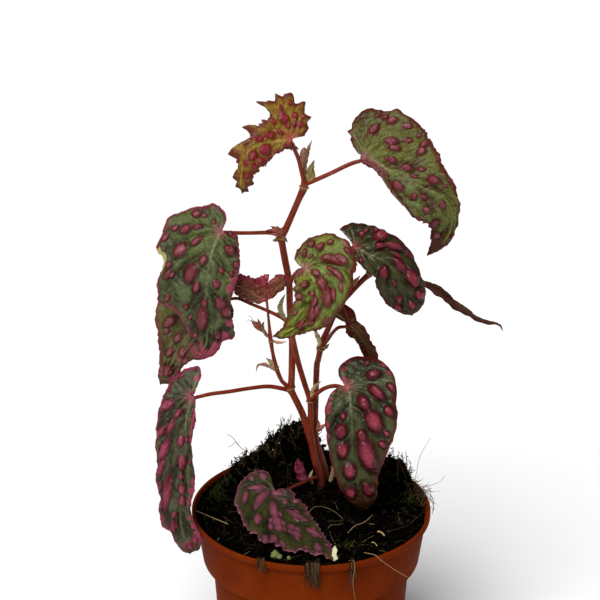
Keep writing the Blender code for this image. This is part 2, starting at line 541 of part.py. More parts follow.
def tube(stations, sides, steps, thickness=None):
    """A closed tube through (x, y, z, radius) stations, flattened to a scale of this thickness if given."""
    line = curve_through(stations, steps)
    rings = len(line)
    along = unit(np.gradient(line[:, :3], axis=0))
    helper = np.array((0.1, 1, 0.05))
    points, faces = [], []
    for (x, y, z, radius), ahead in zip(line, along):
        first = unit(np.cross(ahead, helper))
        second = np.cross(ahead, first)
        deep = thickness / 2 if thickness else radius
        for step in range(sides):
            angle = 2 * math.pi * step / sides
            points.append((x, y, z) + radius * math.cos(angle) * first + deep * math.sin(angle) * second)
    for ring in range(rings - 1):
        faces += ring_faces(ring * sides, (ring + 1) * sides, sides)
    last = (rings - 1) * sides
    faces.append(tuple(range(sides - 1, -1, -1)))
    faces.append(tuple(range(last, last + sides)))
    return points, faces


def build_pot():
    foot_radius, foot_height = COLLAR_FOOT
    top_radius, top_height = BODY_TOP
    outside = [
        (BASE_RADIUS - 1, 0), (BASE_RADIUS, 1), BODY_TOP, (foot_radius - 0.6, foot_height - 0.4), COLLAR_FOOT,
        (RIM_RADIUS - 0.5, POT_HEIGHT - 3.4), (RIM_RADIUS, POT_HEIGHT - 2.8), (RIM_RADIUS, POT_HEIGHT - 0.5),
        (RIM_RADIUS - 0.4, POT_HEIGHT),
    ]
    inside = [
        (RIM_RADIUS - WALL, POT_HEIGHT), (RIM_RADIUS - WALL - 0.4, POT_HEIGHT - 1),
        (foot_radius - WALL, foot_height + WALL), (top_radius - WALL, top_height + WALL),
        (BASE_RADIUS - WALL + 0.1, FLOOR),
    ]
    pot = add_object("pot", *turned(outside + inside, POT_SIDES), TERRACOTTA)
    holes = []
    for step in range(DRAIN_HOLES):
        angle = 2 * math.pi * step / DRAIN_HOLES
        x, y = DRAIN_RING * math.cos(angle), DRAIN_RING * math.sin(angle)
        stations = [(x, y, -2, DRAIN_RADIUS), (x, y, FLOOR + 2, DRAIN_RADIUS)]
        holes.append(add_object("drain_cutter", *tube(stations, 12, 1)))
    apply_boolean(pot, holes, "DIFFERENCE")


def inner_radius(height):
    """Radius of the pot's inside at this height."""
    stated = (
        (FLOOR, BASE_RADIUS - WALL + 0.1), (BODY_TOP[1] + WALL, BODY_TOP[0] - WALL),
        (COLLAR_FOOT[1] + WALL, COLLAR_FOOT[0] - WALL), (POT_HEIGHT - 1, RIM_RADIUS - WALL - 0.4),
    )
    return float(np.interp(height, *zip(*stated)))


def soil_height(x, y):
    """Height of the soil: its level, its heaps and small lumps, coming down to the level at the wall."""
    height = sum(
        tall * math.exp(-(((x - middle_x) / reach_x) ** 2) - ((y - middle_y) / reach_y) ** 2)
        for middle_x, middle_y, tall, reach_x, reach_y in SOIL_HEAPS
    )
    lumps = math.sin(0.9 * x + 1.3 * math.sin(0.31 * y)) + math.cos(0.8 * y - 1.1 * math.sin(0.37 * x + 1))
    height += SOIL_LUMP * (lumps + math.sin(0.47 * (x - y) + 2))
    wall = min(1.0, max(0.0, (inner_radius(SOIL_LEVEL) - math.hypot(x, y)) / 9))
    return SOIL_LEVEL + height * wall


def build_soil(stems):
    """The soil as one solid that fills the pot, with a plain hole round each stem."""
    clear = GAP + 0.25
    step = BODY_TOP[1] + WALL
    profile = [(inner_radius(FLOOR) - clear, FLOOR + GAP), (inner_radius(step) - clear, step + 0.5)]
    profile += [(inner_radius(height) - clear, height) for height in (step + 1.6, SOIL_LEVEL - 3)]
    edge = inner_radius(SOIL_LEVEL) - clear
    profile += [(edge * (1 - ring / (SOIL_RINGS + 0.5)), SOIL_LEVEL) for ring in range(SOIL_RINGS + 1)]
    points, faces = turned(profile, SOIL_SPOKES)
    top = 4 * SOIL_SPOKES
    points[top:] = [(x, y, soil_height(x, y)) for x, y, _ in points[top:]]
    soil = add_object("soil", points, faces, PEAT)
    cutters = []
    for stations in stems:
        wide = [(x, y, z, radius + GAP + 0.1) for x, y, z, radius in stations]
        cutters.append(add_object("stem_cutter", *tube(wide, 10, 3)))
    apply_boolean(soil, cutters, "DIFFERENCE")


def stipule_stations(points, half_width):
    """Stations of a pointed scale: narrow at its root, widest below the middle, pointed at its tip."""
    line = smooth_line(points, 5)
    swell = (0.55, 1, 0.85, 0.5, 0.35)
    return [(*point, half_width * wide) for point, wide in zip(line, swell)]


def build_canes(name, spines):
    pieces = []
    for stations in CANES[name]:
        stated = [station for station in stations if not isinstance(station, str)]
        radius = stated[-1][3]
        if isinstance(stations[-1], str):
            stated += [(*point, radius * 0.9) for point in spines[stations[-1]].seat(radius)]
        thick = max(station[3] for station in stated) > 1.2
        pieces.append(tube(stated, 8 if thick else 6, 2 if thick else 1))
    for cane, half_width, points in STIPULES:
        if cane == name:
            pieces.append(tube(stipule_stations(points, half_width), 6, 1, STIPULE_THICKNESS))
    cane = add_object(name, *pieces[0])
    branches = [add_object(name + "_branch", *piece) for piece in pieces[1:]]
    apply_boolean(cane, branches, "UNION")
    cane.data.materials.clear()
    cane.data.materials.append(material_for(name, CANE_RED))


def main():
    for old in list(bpy.data.objects):
        bpy.data.objects.remove(old)
    build_pot()
    build_soil([CANES[name][0][:3] for name in CANES])
    for name, sizes in LEAVES.items():
        add_object(name, *blade_mesh(sizes), sizes.colour)
    spines = {name: Spine(sizes) for name, sizes in LEAVES.items()}
    for name in CANES:
        build_canes(name, spines)


main()
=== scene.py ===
"""Looks of the potted begonia: quilted, spotted blades, red canes, peat and a terracotta-coloured pot.

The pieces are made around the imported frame, which is in metres. Every length in the tables is in
millimetres and every angle in degrees.
"""
import json
import math
from types import SimpleNamespace

import bpy
import numpy as np
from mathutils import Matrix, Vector

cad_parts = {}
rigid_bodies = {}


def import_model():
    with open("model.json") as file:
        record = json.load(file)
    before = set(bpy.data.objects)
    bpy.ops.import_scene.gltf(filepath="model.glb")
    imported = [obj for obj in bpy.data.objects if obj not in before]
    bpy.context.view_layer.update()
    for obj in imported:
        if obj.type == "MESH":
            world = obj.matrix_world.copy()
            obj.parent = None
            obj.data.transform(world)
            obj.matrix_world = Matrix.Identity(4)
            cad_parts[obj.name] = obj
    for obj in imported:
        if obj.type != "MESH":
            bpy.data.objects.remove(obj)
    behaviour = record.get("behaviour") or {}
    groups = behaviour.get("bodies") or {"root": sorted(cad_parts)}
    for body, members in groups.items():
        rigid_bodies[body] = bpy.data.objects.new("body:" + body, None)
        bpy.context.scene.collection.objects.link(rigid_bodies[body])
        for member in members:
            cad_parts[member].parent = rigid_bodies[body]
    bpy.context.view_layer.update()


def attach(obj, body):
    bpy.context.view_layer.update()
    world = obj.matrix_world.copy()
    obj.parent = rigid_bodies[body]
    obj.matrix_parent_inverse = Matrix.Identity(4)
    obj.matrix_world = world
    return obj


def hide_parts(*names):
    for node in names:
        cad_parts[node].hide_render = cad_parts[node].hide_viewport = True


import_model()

MM = 0.001

# Camera and light, with places in metres
CAMERA_PLACE = (-0.004894, -0.57231, 0.400157)
CAMERA_TILT = 69.687
CAMERA_LENS = 87.657
SENSOR_WIDTH = 36
CAMERA_CLIP = (0.01, 50)
FLOOR_REACH = 6.0
SKY = 0.22
SUN = 3.7
SUN_FROM = (-0.25, -0.5, 0.83)
SUN_SPREAD = 35
WHITE = (1, 1, 1, 1)
FLOOR_SHADES = ((0.86, 0.86, 0.86), (0.89, 0.89, 0.89))

# Seeds of the random draws
SOIL_SEED = 3
CRUMB_SEED = 11
FIBRE_SEED = 23
MOSS_SEED = 31
SCALE_SEED = 41

# Pot
POT_HEIGHT = 92.0
RIM_RADIUS = 52.5
LIP_TALL = 3.6
LIP_REACH = 1.9
COLLAR_FOOT = (48.0, 69.0)
BODY_TOP = (43.8, 68.0)
BASE_RADIUS = 37.0
WALL = 1.2
FLOOR = 1.6
POT_SIDES = 160
DRAIN_HOLES = 6
DRAIN_RADIUS = 3.5
DRAIN_RING = 25.0
DRAIN_SIDES = 24
# The pot's inside from its floor up to the lip, as (radius, height)
POT_INSIDE = (
    (BASE_RADIUS - WALL + 0.1, FLOOR), (BODY_TOP[0] - WALL, BODY_TOP[1] + WALL),
    (COLLAR_FOOT[0] - WALL, COLLAR_FOOT[1] + WALL),
    (RIM_RADIUS - LIP_REACH - WALL, POT_HEIGHT - LIP_TALL - 0.5), (RIM_RADIUS - WALL - 0.4, POT_HEIGHT - 1),
)

# Soil
SOIL_LEVEL = 89.0
SOIL_LUMP = 0.55
SOIL_SPOKES = 260
SOIL_RINGS = 90
SOIL_CLEAR = 0.5
# Each heap is (x, y, height, reach along x, reach along y), and the second one is the dip at the canes
SOIL_HEAPS = (
    (2.0, 8.0, 9.0, 24.0, 20.0), (2.0, 7.0, -4.0, 9.0, 6.0), (-6.0, 22.0, 19.0, 18.0, 9.0),
    (36.0, 24.0, 10.0, 12.0, 9.0), (-34.0, 24.0, 8.0, 12.0, 9.0),
)
# The share of crumbs and fibres that lie on the heap behind the canes, its middle and its spread
HEAPED = 0.22
HEAP_MIDDLE = (-5, 20)
HEAP_SPREAD = (11, 5)
# Crumbs over the soil, and along the wall, where all those after the first ones lie behind the canes
CRUMBS = 2600
CRUMB_TONES = (0, 1)
RIDGE_TONES = (0, 0.8)
WALL_CRUMBS = 2200
WALL_CRUMBS_ROUND = 900
WALL_CRUMB_LEVEL = 88.6
WALL_TONES = (0, 0.9)
# By how much a lump's corners stand in or out
LUMP_ROUGH = (0.6, 1.25)
CUSHION_ROUGH = (0.85, 1.1)
# Fibres over the soil, and fine roots that stick out over the rim at the right
LYING_FIBRES = 1500
FRINGE = 70
# Ridges of tangled peat behind the canes: points along the top, and how many lumps and sprigs
TUFTS = (
    (((-35, 22, 98), (-24, 22, 107), (-8, 20.5, 123), (3, 20, 114)), 800, 130),
    (((34, 25, 102), (40, 21, 103.5), (43, 17, 97)), 230, 40),
)
# Clumps of roots over the pot's front, as (x, spread, lowest end, how many)
CLUMPS = ((0.6, 2.6, 79.5, 46), (-20.5, 1.2, 86, 9), (16.8, 1.0, 76, 8))
# Moss as (x, y, reach along x, reach along y, how many sprigs), and cushions of it as (x, y, z, size)
MOSS = (
    (-35, 24, 14, 9, 1000), (-26, 31, 6, 5, 240), (-42, 14, 5, 10, 300), (38, 22, 9, 10, 700), (44, 10, 4, 8, 200),
    (-6, 27, 8, 4, 160), (30, 32, 6, 4, 160), (16, -30, 5, 4, 60),
)
MOSS_CUSHIONS = ((-15.2, -45, 93.2, 2.1), (-13.4, -45.6, 92.6, 1.5), (-9.4, -46, 92.2, 1.0))
# Straws, roots and dry bits as (tone, width, points), where 0 is dark and 1 pale
STRAWS = (
    (0.72, 0.2, ((-1.4, -11, 93.6), (1.2, -8.3, 95.4), (5.5, -7.4, 95), (10.3, -11, 94.5), (14.1, -14.5, 92.4))),
    (0.76, 0.34, ((15.5, -23.1, 91), (18.7, -18.9, 92.2), (22.6, -17.1, 92.8), (26.8, -10, 92.8))),
    (0.38, 0.38, ((-20.5, 32, 96.5), (-15, 31.1, 97.6), (-10.4, 33.2, 99.5), (-8.1, 36.4, 101))),
    (0.91, 0.34, ((-50.3, -6.4, 92.6), (-43.9, -10.9, 92.2), (-35.9, -15.3, 91))),
    (0.84, 0.22, (
        (21.5, -43.3, 93.2), (25.8, -45.5, 93.4), (28.5, -46.5, 91.4), (35, -43.6, 84.8), (42.6, -39.6, 77.7),
    )),
    (0.34, 0.21, ((46.8, 22.9, 90), (48, 22, 97), (48.9, 22, 103.5), (50.9, 22, 108.5), (53.8, 22, 114))),
    (0.34, 0.19, ((48.5, 15.9, 91), (53.6, 10, 96.6), (57.2, 10, 98.1), (59.7, 10, 101.1))),
    (0.34, 0.17, ((48.2, 12.9, 91), (53.4, 5, 95.8), (57, 5, 96))),
    (0.30, 0.34, (
        (-22, 22, 96), (-25.2, 22, 103.5), (-28.3, 22, 107), (-31.9, 22, 109.5), (-35, 22, 114), (-37.6, 22, 116),
    )),
    (0.30, 0.25, ((-31.9, 22, 109.5), (-33.7, 22, 112), (-35.5, 22, 110.4), (-37.3, 22, 109.4))),
    (0.26, 0.42, ((-2, -47, 91), (-0.8, -50.6, 93.2), (-0.2, -53.2, 91.6), (0.4, -53.2, 87), (0, -53, 81.6))),
    (0.26, 0.29, ((0, -47, 91), (1.4, -50.6, 93.4), (1.2, -53.4, 91), (2.4, -53.4, 86.6), (3.6, -53, 84.4))),
    (0.66, 0.34, (
        (15.3, -46, 91), (16.9, -50.4, 93.4), (17.4, -53, 91.6), (16.7, -53, 85.9), (17.2, -52.2, 79.9),
        (17.8, -51.6, 75.5),
    )),
    (0.30, 0.30, ((48, 8, 91), (52, 7, 94), (54.4, 6, 91), (54.2, 5, 85.6))),
    (0.20, 0.26, ((48, 4, 91), (52.4, 3, 93.6), (54.2, 2, 90), (53.6, 1.4, 86.6))),
    (0.34, 0.24, ((46, 14, 91), (51, 13, 95), (53.6, 12, 92), (53.4, 11.4, 87))),
    (0.57, 0.25, ((-21.8, -43, 90.4), (-21.3, -47.6, 93), (-20.8, -49.4, 91.2), (-21.3, -49.4, 88.3))),
    (0.84, 0.8, ((28.2, -23.2, 91.8), (29.6, -24.6, 92.2), (31, -26.6, 91.6))),
    (0.9, 0.45, ((25.2, -32, 91.6), (26.4, -33.2, 92), (27.4, -34.8, 91.4))),
)
# A dry flake that stands in the peat: its outline, the same points behind it, and its faces
FLAKE_FRONT = (
    (7.9, -45.6, 91), (9.2, -46, 90.8), (10.6, -46, 91.8), (9.9, -45.6, 93.6), (10.4, -45.2, 95.2), (9.3, -45, 97.2),
    (8.5, -45, 96), (8.8, -45.2, 94), (7.8, -45.6, 92.4),
)
DRY_FLAKE = (*FLAKE_FRONT, *((x + 0.2, y + 0.7, z) for x, y, z in FLAKE_FRONT))
FLAKE_FACES = (
    *((0, k, k + 1) for k in range(1, 8)), *((9, 10 + k, 9 + k) for k in range(1, 8)),
    *((k, 9 + k, (k + 1) % 9) for k in range(9)), *(((k + 1) % 9, 9 + k, 9 + (k + 1) % 9) for k in range(9)),
)

# Blades. A place on one is its place along the margin, 0 to 1, and its share of the way out to it.
THICKNESS = 0.45
# Side veins of each half, evenly spread along the margin
VEINS = 6
# The first part of a margin, up to FAN, is the basal lobe, whose veins all leave from the stalk. It
# ends where the margin comes past FAN_REACH of the midrib. A half has a lobe where its margin
# reaches back behind LOBE_REACH.
FAN = 0.30
FAN_REACH = 0.10
LOBE_REACH = -0.1
# How strongly the feet of the other veins crowd towards the stalk, and how strongly a vein bows
VEIN_LEAN = 2.0
VEIN_BOW = 1.5
# Distance between veins from which the quilting has its full height
FULL_ROOM = 7.0
# Distance from the margin at which the rim mark comes to 1
RIM_REACH = 6.0
# Steps from one stated point to the next, and of whole lines
CURVE_STEPS = 24
SPINE_STEPS = 240
MARGIN_STEPS = 1600
ROUGH_MARGIN_STEPS = 300
ROWS_PER_MM = 2.6
COLUMNS_PER_MM = 2.2
LEAST_ROWS = 90
LEAST_COLUMNS = 12
# A way that no cane or scale takes, from which cross-sections are set out
ASIDE = np.array((0.1, 1, 0.05))


def leaf(**given):
    """A blade's sizes.

    midrib holds points from the stalk to the tip, and face the way that the upper side looks, evenly
    spread along it. left and right are the margin from the sinus to the tip, as (share of the
    midrib's length, distance across). fold is the angle at which a half blade leaves the midrib and
    curl how much it turns in each 10 mm across.
    A margin has large_teeth of the depth teeth, and finer ones of the depth fine. spikes are single
    long teeth as (side, place along the margin from 0 to 1, reach, half width as a share of it).
    quilt is the height of the quilting between the veins, ruffle that of the waves at the margin,
    streaked that of fine ridges, and blistered a factor on that of the blisters. freckles is how many
    small blisters are tried at random places.
    stalk is -1 where the stalk comes to the blade from behind, 1 where it comes from the front and 0
    where it runs on into the midrib.
    """
    sizes = dict(
        left_fold=(0,), right_fold=(0,), left_curl=(0,), right_curl=(0,), large_teeth=12, teeth=0.5, fine=0.6,
        spikes=(), quilt=0.8, ruffle=0.3, streaked=0.35, blistered=1.0, freckles=45, stalk=-1,
    )
    return SimpleNamespace(**{**sizes, **given})


# Both margins of the narrow leaf at the right
TAIL_MARGIN = ((0, 1.4), (0.1, 3), (0.25, 4), (0.4, 3.4), (0.55, 2.6), (0.7, 1.6), (0.85, 1))

LEAVES = {
    "leaf_top": leaf(
        midrib=[
            (-8.5, 1, 257), (-13, -1, 256.8), (-18.5, -4, 256.8), (-23.6, -7, 255.3), (-26.8, -9, 251.6),
            (-28, -9.5, 246.5), (-28.3, -9.2, 241.5), (-28.2, -8, 236.6),
        ],
        face=[(0.1, -0.75, 0.65), (0, -0.75, 0.65), (-0.3, -0.75, 0.6), (-0.5, -0.85, 0.2), (-0.3, -0.95, 0)],
        left=[
            (-0.08, 4.5), (0, 2.6), (0.13, 4), (0.3, 6.6), (0.44, 7.8), (0.58, 7.4), (0.7, 5.6), (0.84, 3.4), (0.94, 2),
        ],
        right=[
            (-0.17, 0.5), (-0.2, 4.5), (-0.2, 9), (-0.16, 12.5), (-0.07, 15.5), (0.06, 14.6), (0.16, 10.6), (0.25, 7.8),
            (0.35, 5), (0.47, 2.6), (0.6, 1.6), (0.75, 1.2), (0.88, 1.4),
        ],
        left_fold=(-30, -20, -10), right_fold=(10, 10, 0), left_curl=(-10,), right_curl=(8,),
        spikes=[
            (-1, 0.045, 1.4, 0.03), (-1, 0.091, 3, 0.035), (-1, 0.149, 4.5, 0.035), (-1, 0.205, 2.6, 0.026),
            (-1, 0.23, 2.4, 0.06), (-1, 0.257, 3.2, 0.026), (-1, 0.285, 1.6, 0.02), (-1, 0.315, 7.8, 0.04),
            (-1, 0.36, 0.9, 0.02), (-1, 0.425, 1.8, 0.03), (-1, 0.47, 1, 0.02), (-1, 0.522, 5.4, 0.04),
            (-1, 0.565, 1, 0.02), (-1, 0.605, 1.5, 0.02), (-1, 0.633, 2.6, 0.024), (-1, 0.673, 3.6, 0.024),
            (-1, 0.716, 6, 0.035), (-1, 0.758, 1.5, 0.02), (-1, 0.8, 0.9, 0.02), (-1, 0.835, 1.3, 0.02),
            (-1, 0.88, 3, 0.026), (-1, 0.936, 2, 0.02), (1, 0.36, 1.5, 0.03), (1, 0.68, 1, 0.02), (1, 0.8, 0.9, 0.02),
            (1, 0.905, 2, 0.025), (1, 0.965, 1.2, 0.02),
        ],
        fine=0.9, freckles=20, quilt=0.6, blistered=0.6,
    ),
    "leaf_upper_right": leaf(
        midrib=[
            (20.3, 4, 248.7), (26.6, 1, 247), (35.4, -3, 242.3), (44.9, -6, 238.5), (52.6, -7, 234.6),
            (56.6, -6, 228.1), (56.3, -4, 219.4), (52.6, -2, 212.7), (47.6, 0, 207.7),
        ],
        face=[(0.1, -0.7, 0.7), (0.1, -0.75, 0.65), (0.3, -0.85, 0.4), (0.3, -0.95, 0)],
        left=[
            (-0.05, 1.6), (-0.1, 5), (-0.14, 9), (-0.155, 12.6), (-0.17, 17), (-0.16, 21), (-0.12, 23.8), (-0.05, 25),
            (0.07, 26.3), (0.19, 24.8), (0.31, 21.2), (0.42, 15.6), (0.52, 9.4), (0.62, 4.6), (0.74, 2.6), (0.88, 1.8),
        ],
        right=[
            (0.01, 1.8), (0.09, 2.6), (0.16, 3.2), (0.24, 5), (0.32, 8.2), (0.41, 11.2), (0.55, 12.4), (0.7, 10.2),
            (0.83, 7), (0.92, 3.6),
        ],
        right_fold=(-25, -15, 0), large_teeth=14, quilt=1.25, ruffle=0.5, streaked=0.4,
        spikes=[(1, 0.078, 1.4, 0.012), (1, 0.272, 1.4, 0.02)],
    ),
    "leaf_left_big": leaf(
        midrib=[
            (-37.2, -2, 219.2), (-40, -5, 213.7), (-42, -8, 206.5), (-43, -10, 196.4), (-43.2, -10, 186.7),
            (-43.4, -9, 178.4), (-44.5, -8, 170.5), (-51.5, -6, 163.5),
        ],
        face=[(-0.15, -0.85, 0.5), (-0.1, -0.95, 0.3), (0, -1, 0.1), (0, -1, -0.1)],
        left=[
            (-0.03, 3.8), (-0.01, 7), (0.08, 10.2), (0.22, 12.4), (0.32, 11.8), (0.45, 10.2), (0.57, 9.4), (0.7, 11),
            (0.76, 11.2), (0.79, 6.6), (0.86, 5), (0.94, 3),
        ],
        right=[
            (-0.05, 0), (-0.1, 0.8), (-0.14, 3.5), (-0.155, 8), (-0.13, 11), (-0.08, 16.5), (-0.01, 21.5), (0.06, 24.4),
            (0.13, 23.6), (0.2, 24.6), (0.25, 20.6), (0.31, 19.8), (0.38, 21.6), (0.47, 21.2), (0.54, 20.6), (0.57, 15),
            (0.65, 10.6), (0.76, 7.4), (0.84, 2.2), (0.93, 0.8),
        ],
        left_fold=(-5,), right_fold=(-10,), large_teeth=14, quilt=1.1, teeth=0.35, fine=0.45,
    ),
    "leaf_left_mid": leaf(
        midrib=[
            (-35.3, 6, 187), (-42, 3, 181.8), (-49.2, 1, 174.5), (-55.7, 0, 165.8), (-61, 0, 156.6), (-64.8, 1, 149.2),
        ],
        face=[(-0.2, -0.85, 0.5), (-0.1, -0.95, 0.3), (0, -1, 0.1)],
        left=[
            (0, 1.2), (0.06, 6.4), (0.19, 10), (0.36, 10.6), (0.54, 9), (0.66, 6), (0.74, 4.6), (0.85, 5), (0.94, 3.4),
        ],
        right=[
            (-0.06, 3.6), (-0.02, 8), (0.1, 12.6), (0.26, 17), (0.42, 19), (0.52, 16.6), (0.6, 12), (0.7, 8),
            (0.82, 4.4), (0.93, 2.4),
        ],
    ),
    "leaf_left_low": leaf(
        midrib=[
            (-50.3, -10, 148.5), (-52.5, -15, 140.5), (-54, -19, 130), (-55, -22, 119), (-55, -24, 108),
            (-55.4, -25.5, 98.5), (-54, -26, 90), (-51.8, -26, 82.4),
        ],
        face=[(-0.3, -0.85, 0.4), (-0.3, -0.95, 0.2), (-0.2, -1, 0.1)],
        left=[
            (0, 1.4), (0.05, 2), (0.14, 3.6), (0.28, 3.4), (0.44, 5.2), (0.52, 6.2), (0.63, 4.6), (0.7, 3.8), (0.77, 5),
            (0.84, 6.8), (0.93, 6.8), (0.98, 4.6), (0.99, 2),
        ],
        right=[
            (-0.14, -1.8), (-0.19, 1), (-0.17, 5), (-0.12, 9), (-0.05, 12), (0.06, 13), (0.2, 13.2), (0.35, 12),
            (0.44, 10.8), (0.53, 11.4), (0.64, 9.4), (0.73, 9.6), (0.8, 8.6), (0.85, 5.4), (0.92, 4.2), (0.98, 2.4),
        ],
        large_teeth=14, quilt=1.1, fine=0.35,
    ),
    "leaf_center": leaf(
        midrib=[
            (-3.2, -3, 203.5), (0.4, -6, 200.2), (2.1, -9, 196), (0.8, -11, 190.2), (-2.8, -12, 184.9),
            (-8.2, -11, 179.6), (-16.3, -9, 175.3),
        ],
        face=[(0, -0.75, 0.65), (0.1, -0.9, 0.4), (0, -1, 0.1), (-0.1, -1, 0)],
        left=[
            (-0.09, -1), (-0.15, 0.2), (-0.21, 5), (-0.22, 10), (-0.18, 15.5), (-0.08, 19.6), (0.06, 21), (0.16, 19.4),
            (0.23, 15.6), (0.31, 13), (0.43, 10), (0.54, 8.8), (0.66, 5.4), (0.8, 3.2), (0.92, 2.2),
        ],
        right=[
            (-0.03, 1.6), (-0.02, 4), (0.04, 6.6), (0.16, 9.4), (0.32, 9), (0.47, 7.8), (0.61, 6.8), (0.73, 5.2),
            (0.86, 2.2),
        ],
        quilt=1.2, ruffle=0.4,
    ),
    "leaf_right_dark": leaf(
        midrib=[
            (17.1, 5, 210), (24.2, 3, 207.1), (31.2, 2, 204), (35, 1, 199.5), (37.2, 1, 194.2), (39.1, 2, 187.6),
            (42.4, 4, 179.6),
        ],
        face=[(0.1, -0.7, 0.7), (0.15, -0.8, 0.55), (0.1, -0.95, 0.3), (0, -1, 0)],
        left=[
            (-0.2, 5), (-0.15, 9), (-0.08, 11.4), (0.04, 12.8), (0.2, 13.2), (0.32, 12.2), (0.45, 10.6), (0.59, 9.6),
            (0.78, 9.6), (0.9, 7.6), (0.97, 4),
        ],
        right=[
            (0.09, 4.4), (0.17, 6), (0.26, 7.2), (0.37, 8.4), (0.5, 9.6), (0.66, 9.2), (0.78, 7.6), (0.88, 5),
            (0.95, 2.8),
        ],
        quilt=0.9, teeth=0.4, fine=0.15, freckles=12, blistered=1.25, streaked=0.1,
    ),
    "leaf_right_tail": leaf(
        midrib=[
            (47.5, 16, 190.5), (53.5, 17, 185.7), (59.8, 18, 180.3), (65.5, 18, 176.6), (70.9, 18, 173.3),
            (76, 17, 171.9), (81.5, 16, 170.9), (82.8, 15, 168.5),
        ],
        face=[(0, -0.3, 0.95)], left=TAIL_MARGIN, right=TAIL_MARGIN, left_fold=(25,), right_fold=(25,), large_teeth=8,
        quilt=0.15, stalk=0, fine=0.2, teeth=0.2, freckles=0, streaked=0,
    ),
    "leaf_fold_mid": leaf(
        midrib=[
            (15.5, 6, 175.7), (18.7, 6.5, 172.4), (22, 8.5, 167.1), (24.7, 10.5, 161.6), (26.1, 12, 156.2),
            (26.6, 13.5, 149.9),
        ],
        face=[(-0.8, -0.6, 0.1)],
        left=[
            (-0.12, -3), (-0.3, -3.5), (-0.42, 1), (-0.38, 6), (-0.2, 9), (-0.05, 7), (0.05, 5), (0.18, 6.2),
            (0.35, 5.4), (0.52, 4.8), (0.68, 5), (0.85, 4),
        ],
        right=[
            (-0.02, 1.5), (0.07, 4.6), (0.2, 7.8), (0.3, 10), (0.42, 12.6), (0.53, 13.6), (0.52, 11), (0.49, 8.6),
            (0.6, 8.2), (0.74, 8.4), (0.86, 7.2), (0.95, 4),
        ],
        large_teeth=8, quilt=0.15, stalk=1, fine=0.1, teeth=0.15, freckles=4, blistered=0.6, streaked=0,
    ),
    "leaf_low_right": leaf(
        midrib=[
            (14.6, -4, 150.9), (16.2, -9, 146.7), (17, -14, 137.4), (17.4, -17, 127.2), (18.8, -18, 116),
            (21.4, -17, 105.9), (24, -15, 97.7),
        ],
        face=[(0, -0.8, 0.6), (0, -0.95, 0.3), (0, -1, 0.1), (0, -1, -0.1)],
        left=[
            (-0.1, -1.8), (-0.16, -0.4), (-0.21, 4), (-0.21, 9), (-0.17, 15), (-0.08, 19.6), (0.05, 20.8), (0.16, 19.2),
            (0.25, 19.4), (0.36, 18), (0.46, 16), (0.58, 13), (0.7, 9.6), (0.82, 7.4), (0.93, 5),
        ],
        right=[
            (-0.01, 1.4), (0, 4.8), (0.03, 7.8), (0.12, 10.2), (0.25, 11.2), (0.43, 10.4), (0.6, 9), (0.75, 8),
            (0.87, 6.2), (0.96, 3),
        ],
        large_teeth=14, quilt=0.75, teeth=0.35, fine=0.15, freckles=12, blistered=1.25, streaked=0.1,
    ),
    "leaf_soil": leaf(
        midrib=[
            (-15, -6, 101.6), (-15.6, -10, 99.4), (-13.8, -15.5, 97.2), (-10, -22.5, 95.6), (-4.4, -30.5, 94.6),
            (2, -39, 93.6), (8.6, -47, 92.6),
        ],
        face=[(0, -0.25, 0.97)],
        left=[
            (-0.03, 0.4), (-0.05, 3), (-0.01, 7), (0.12, 10.6), (0.26, 11.6), (0.4, 10.8), (0.53, 9.2), (0.73, 6.8),
            (0.9, 4),
        ],
        right=[
            (-0.17, 4), (-0.21, 8), (-0.18, 12), (-0.09, 16), (0.04, 17), (0.16, 16.2), (0.3, 16), (0.45, 14.8),
            (0.57, 12), (0.7, 9.6), (0.76, 5), (0.84, 3.4), (0.92, 2.2),
        ],
        quilt=0.4, fine=1.1, blistered=0.45, streaked=0.05,
        spikes=[
            (-1, 0.485, -1.8, 0.025), (-1, 0.6, -3.4, 0.04), (-1, 0.655, -1.4, 0.02), (-1, 0.79, -2.4, 0.03),
            (-1, 0.93, -2.6, 0.035),
        ],
    ),
    "leaf_young": leaf(
        midrib=[(-18.8, 4, 187), (-22.5, 4, 188.5), (-28, 4, 192), (-34, 5, 194)], face=[(0, -1, 0)],
        left=[(0, 1.2), (0.06, 1.3), (0.2, 2.8), (0.35, 4), (0.55, 4.4), (0.76, 4.3), (0.9, 2.6)],
        right=[
            (-0.13, 1), (-0.19, 5), (-0.31, 8.4), (-0.32, 11.2), (-0.12, 12.5), (0.02, 10.6), (0.09, 7.5), (0.14, 6.4),
            (0.27, 9), (0.36, 10.6), (0.43, 8), (0.5, 6.6), (0.58, 5), (0.66, 5.6), (0.74, 4.6), (0.82, 4.8),
            (0.9, 4.2), (0.97, 2.4),
        ],
        large_teeth=8, quilt=0.7, stalk=1, freckles=6, ruffle=0.3, fine=0.9,
    ),
    "leaf_tiny": leaf(
        midrib=[(-3.2, 5.5, 101.3), (-4.4, 5, 105.4), (-5.4, 4.6, 109.2), (-5.9, 4.2, 112.6)], face=[(0, -1, 0.1)],
        left=[(-0.02, 0.6), (0.1, 2.2), (0.36, 3), (0.7, 2.8), (0.9, 1.4)],
        right=[(0, 1), (0.1, 2.8), (0.4, 3.8), (0.7, 3.4), (0.9, 1.6)], left_fold=(60,), right_fold=(45,),
        left_curl=(-90,), right_curl=(60,), large_teeth=5, quilt=0.5, teeth=0.5, ruffle=0.9, freckles=4,
    ),
}

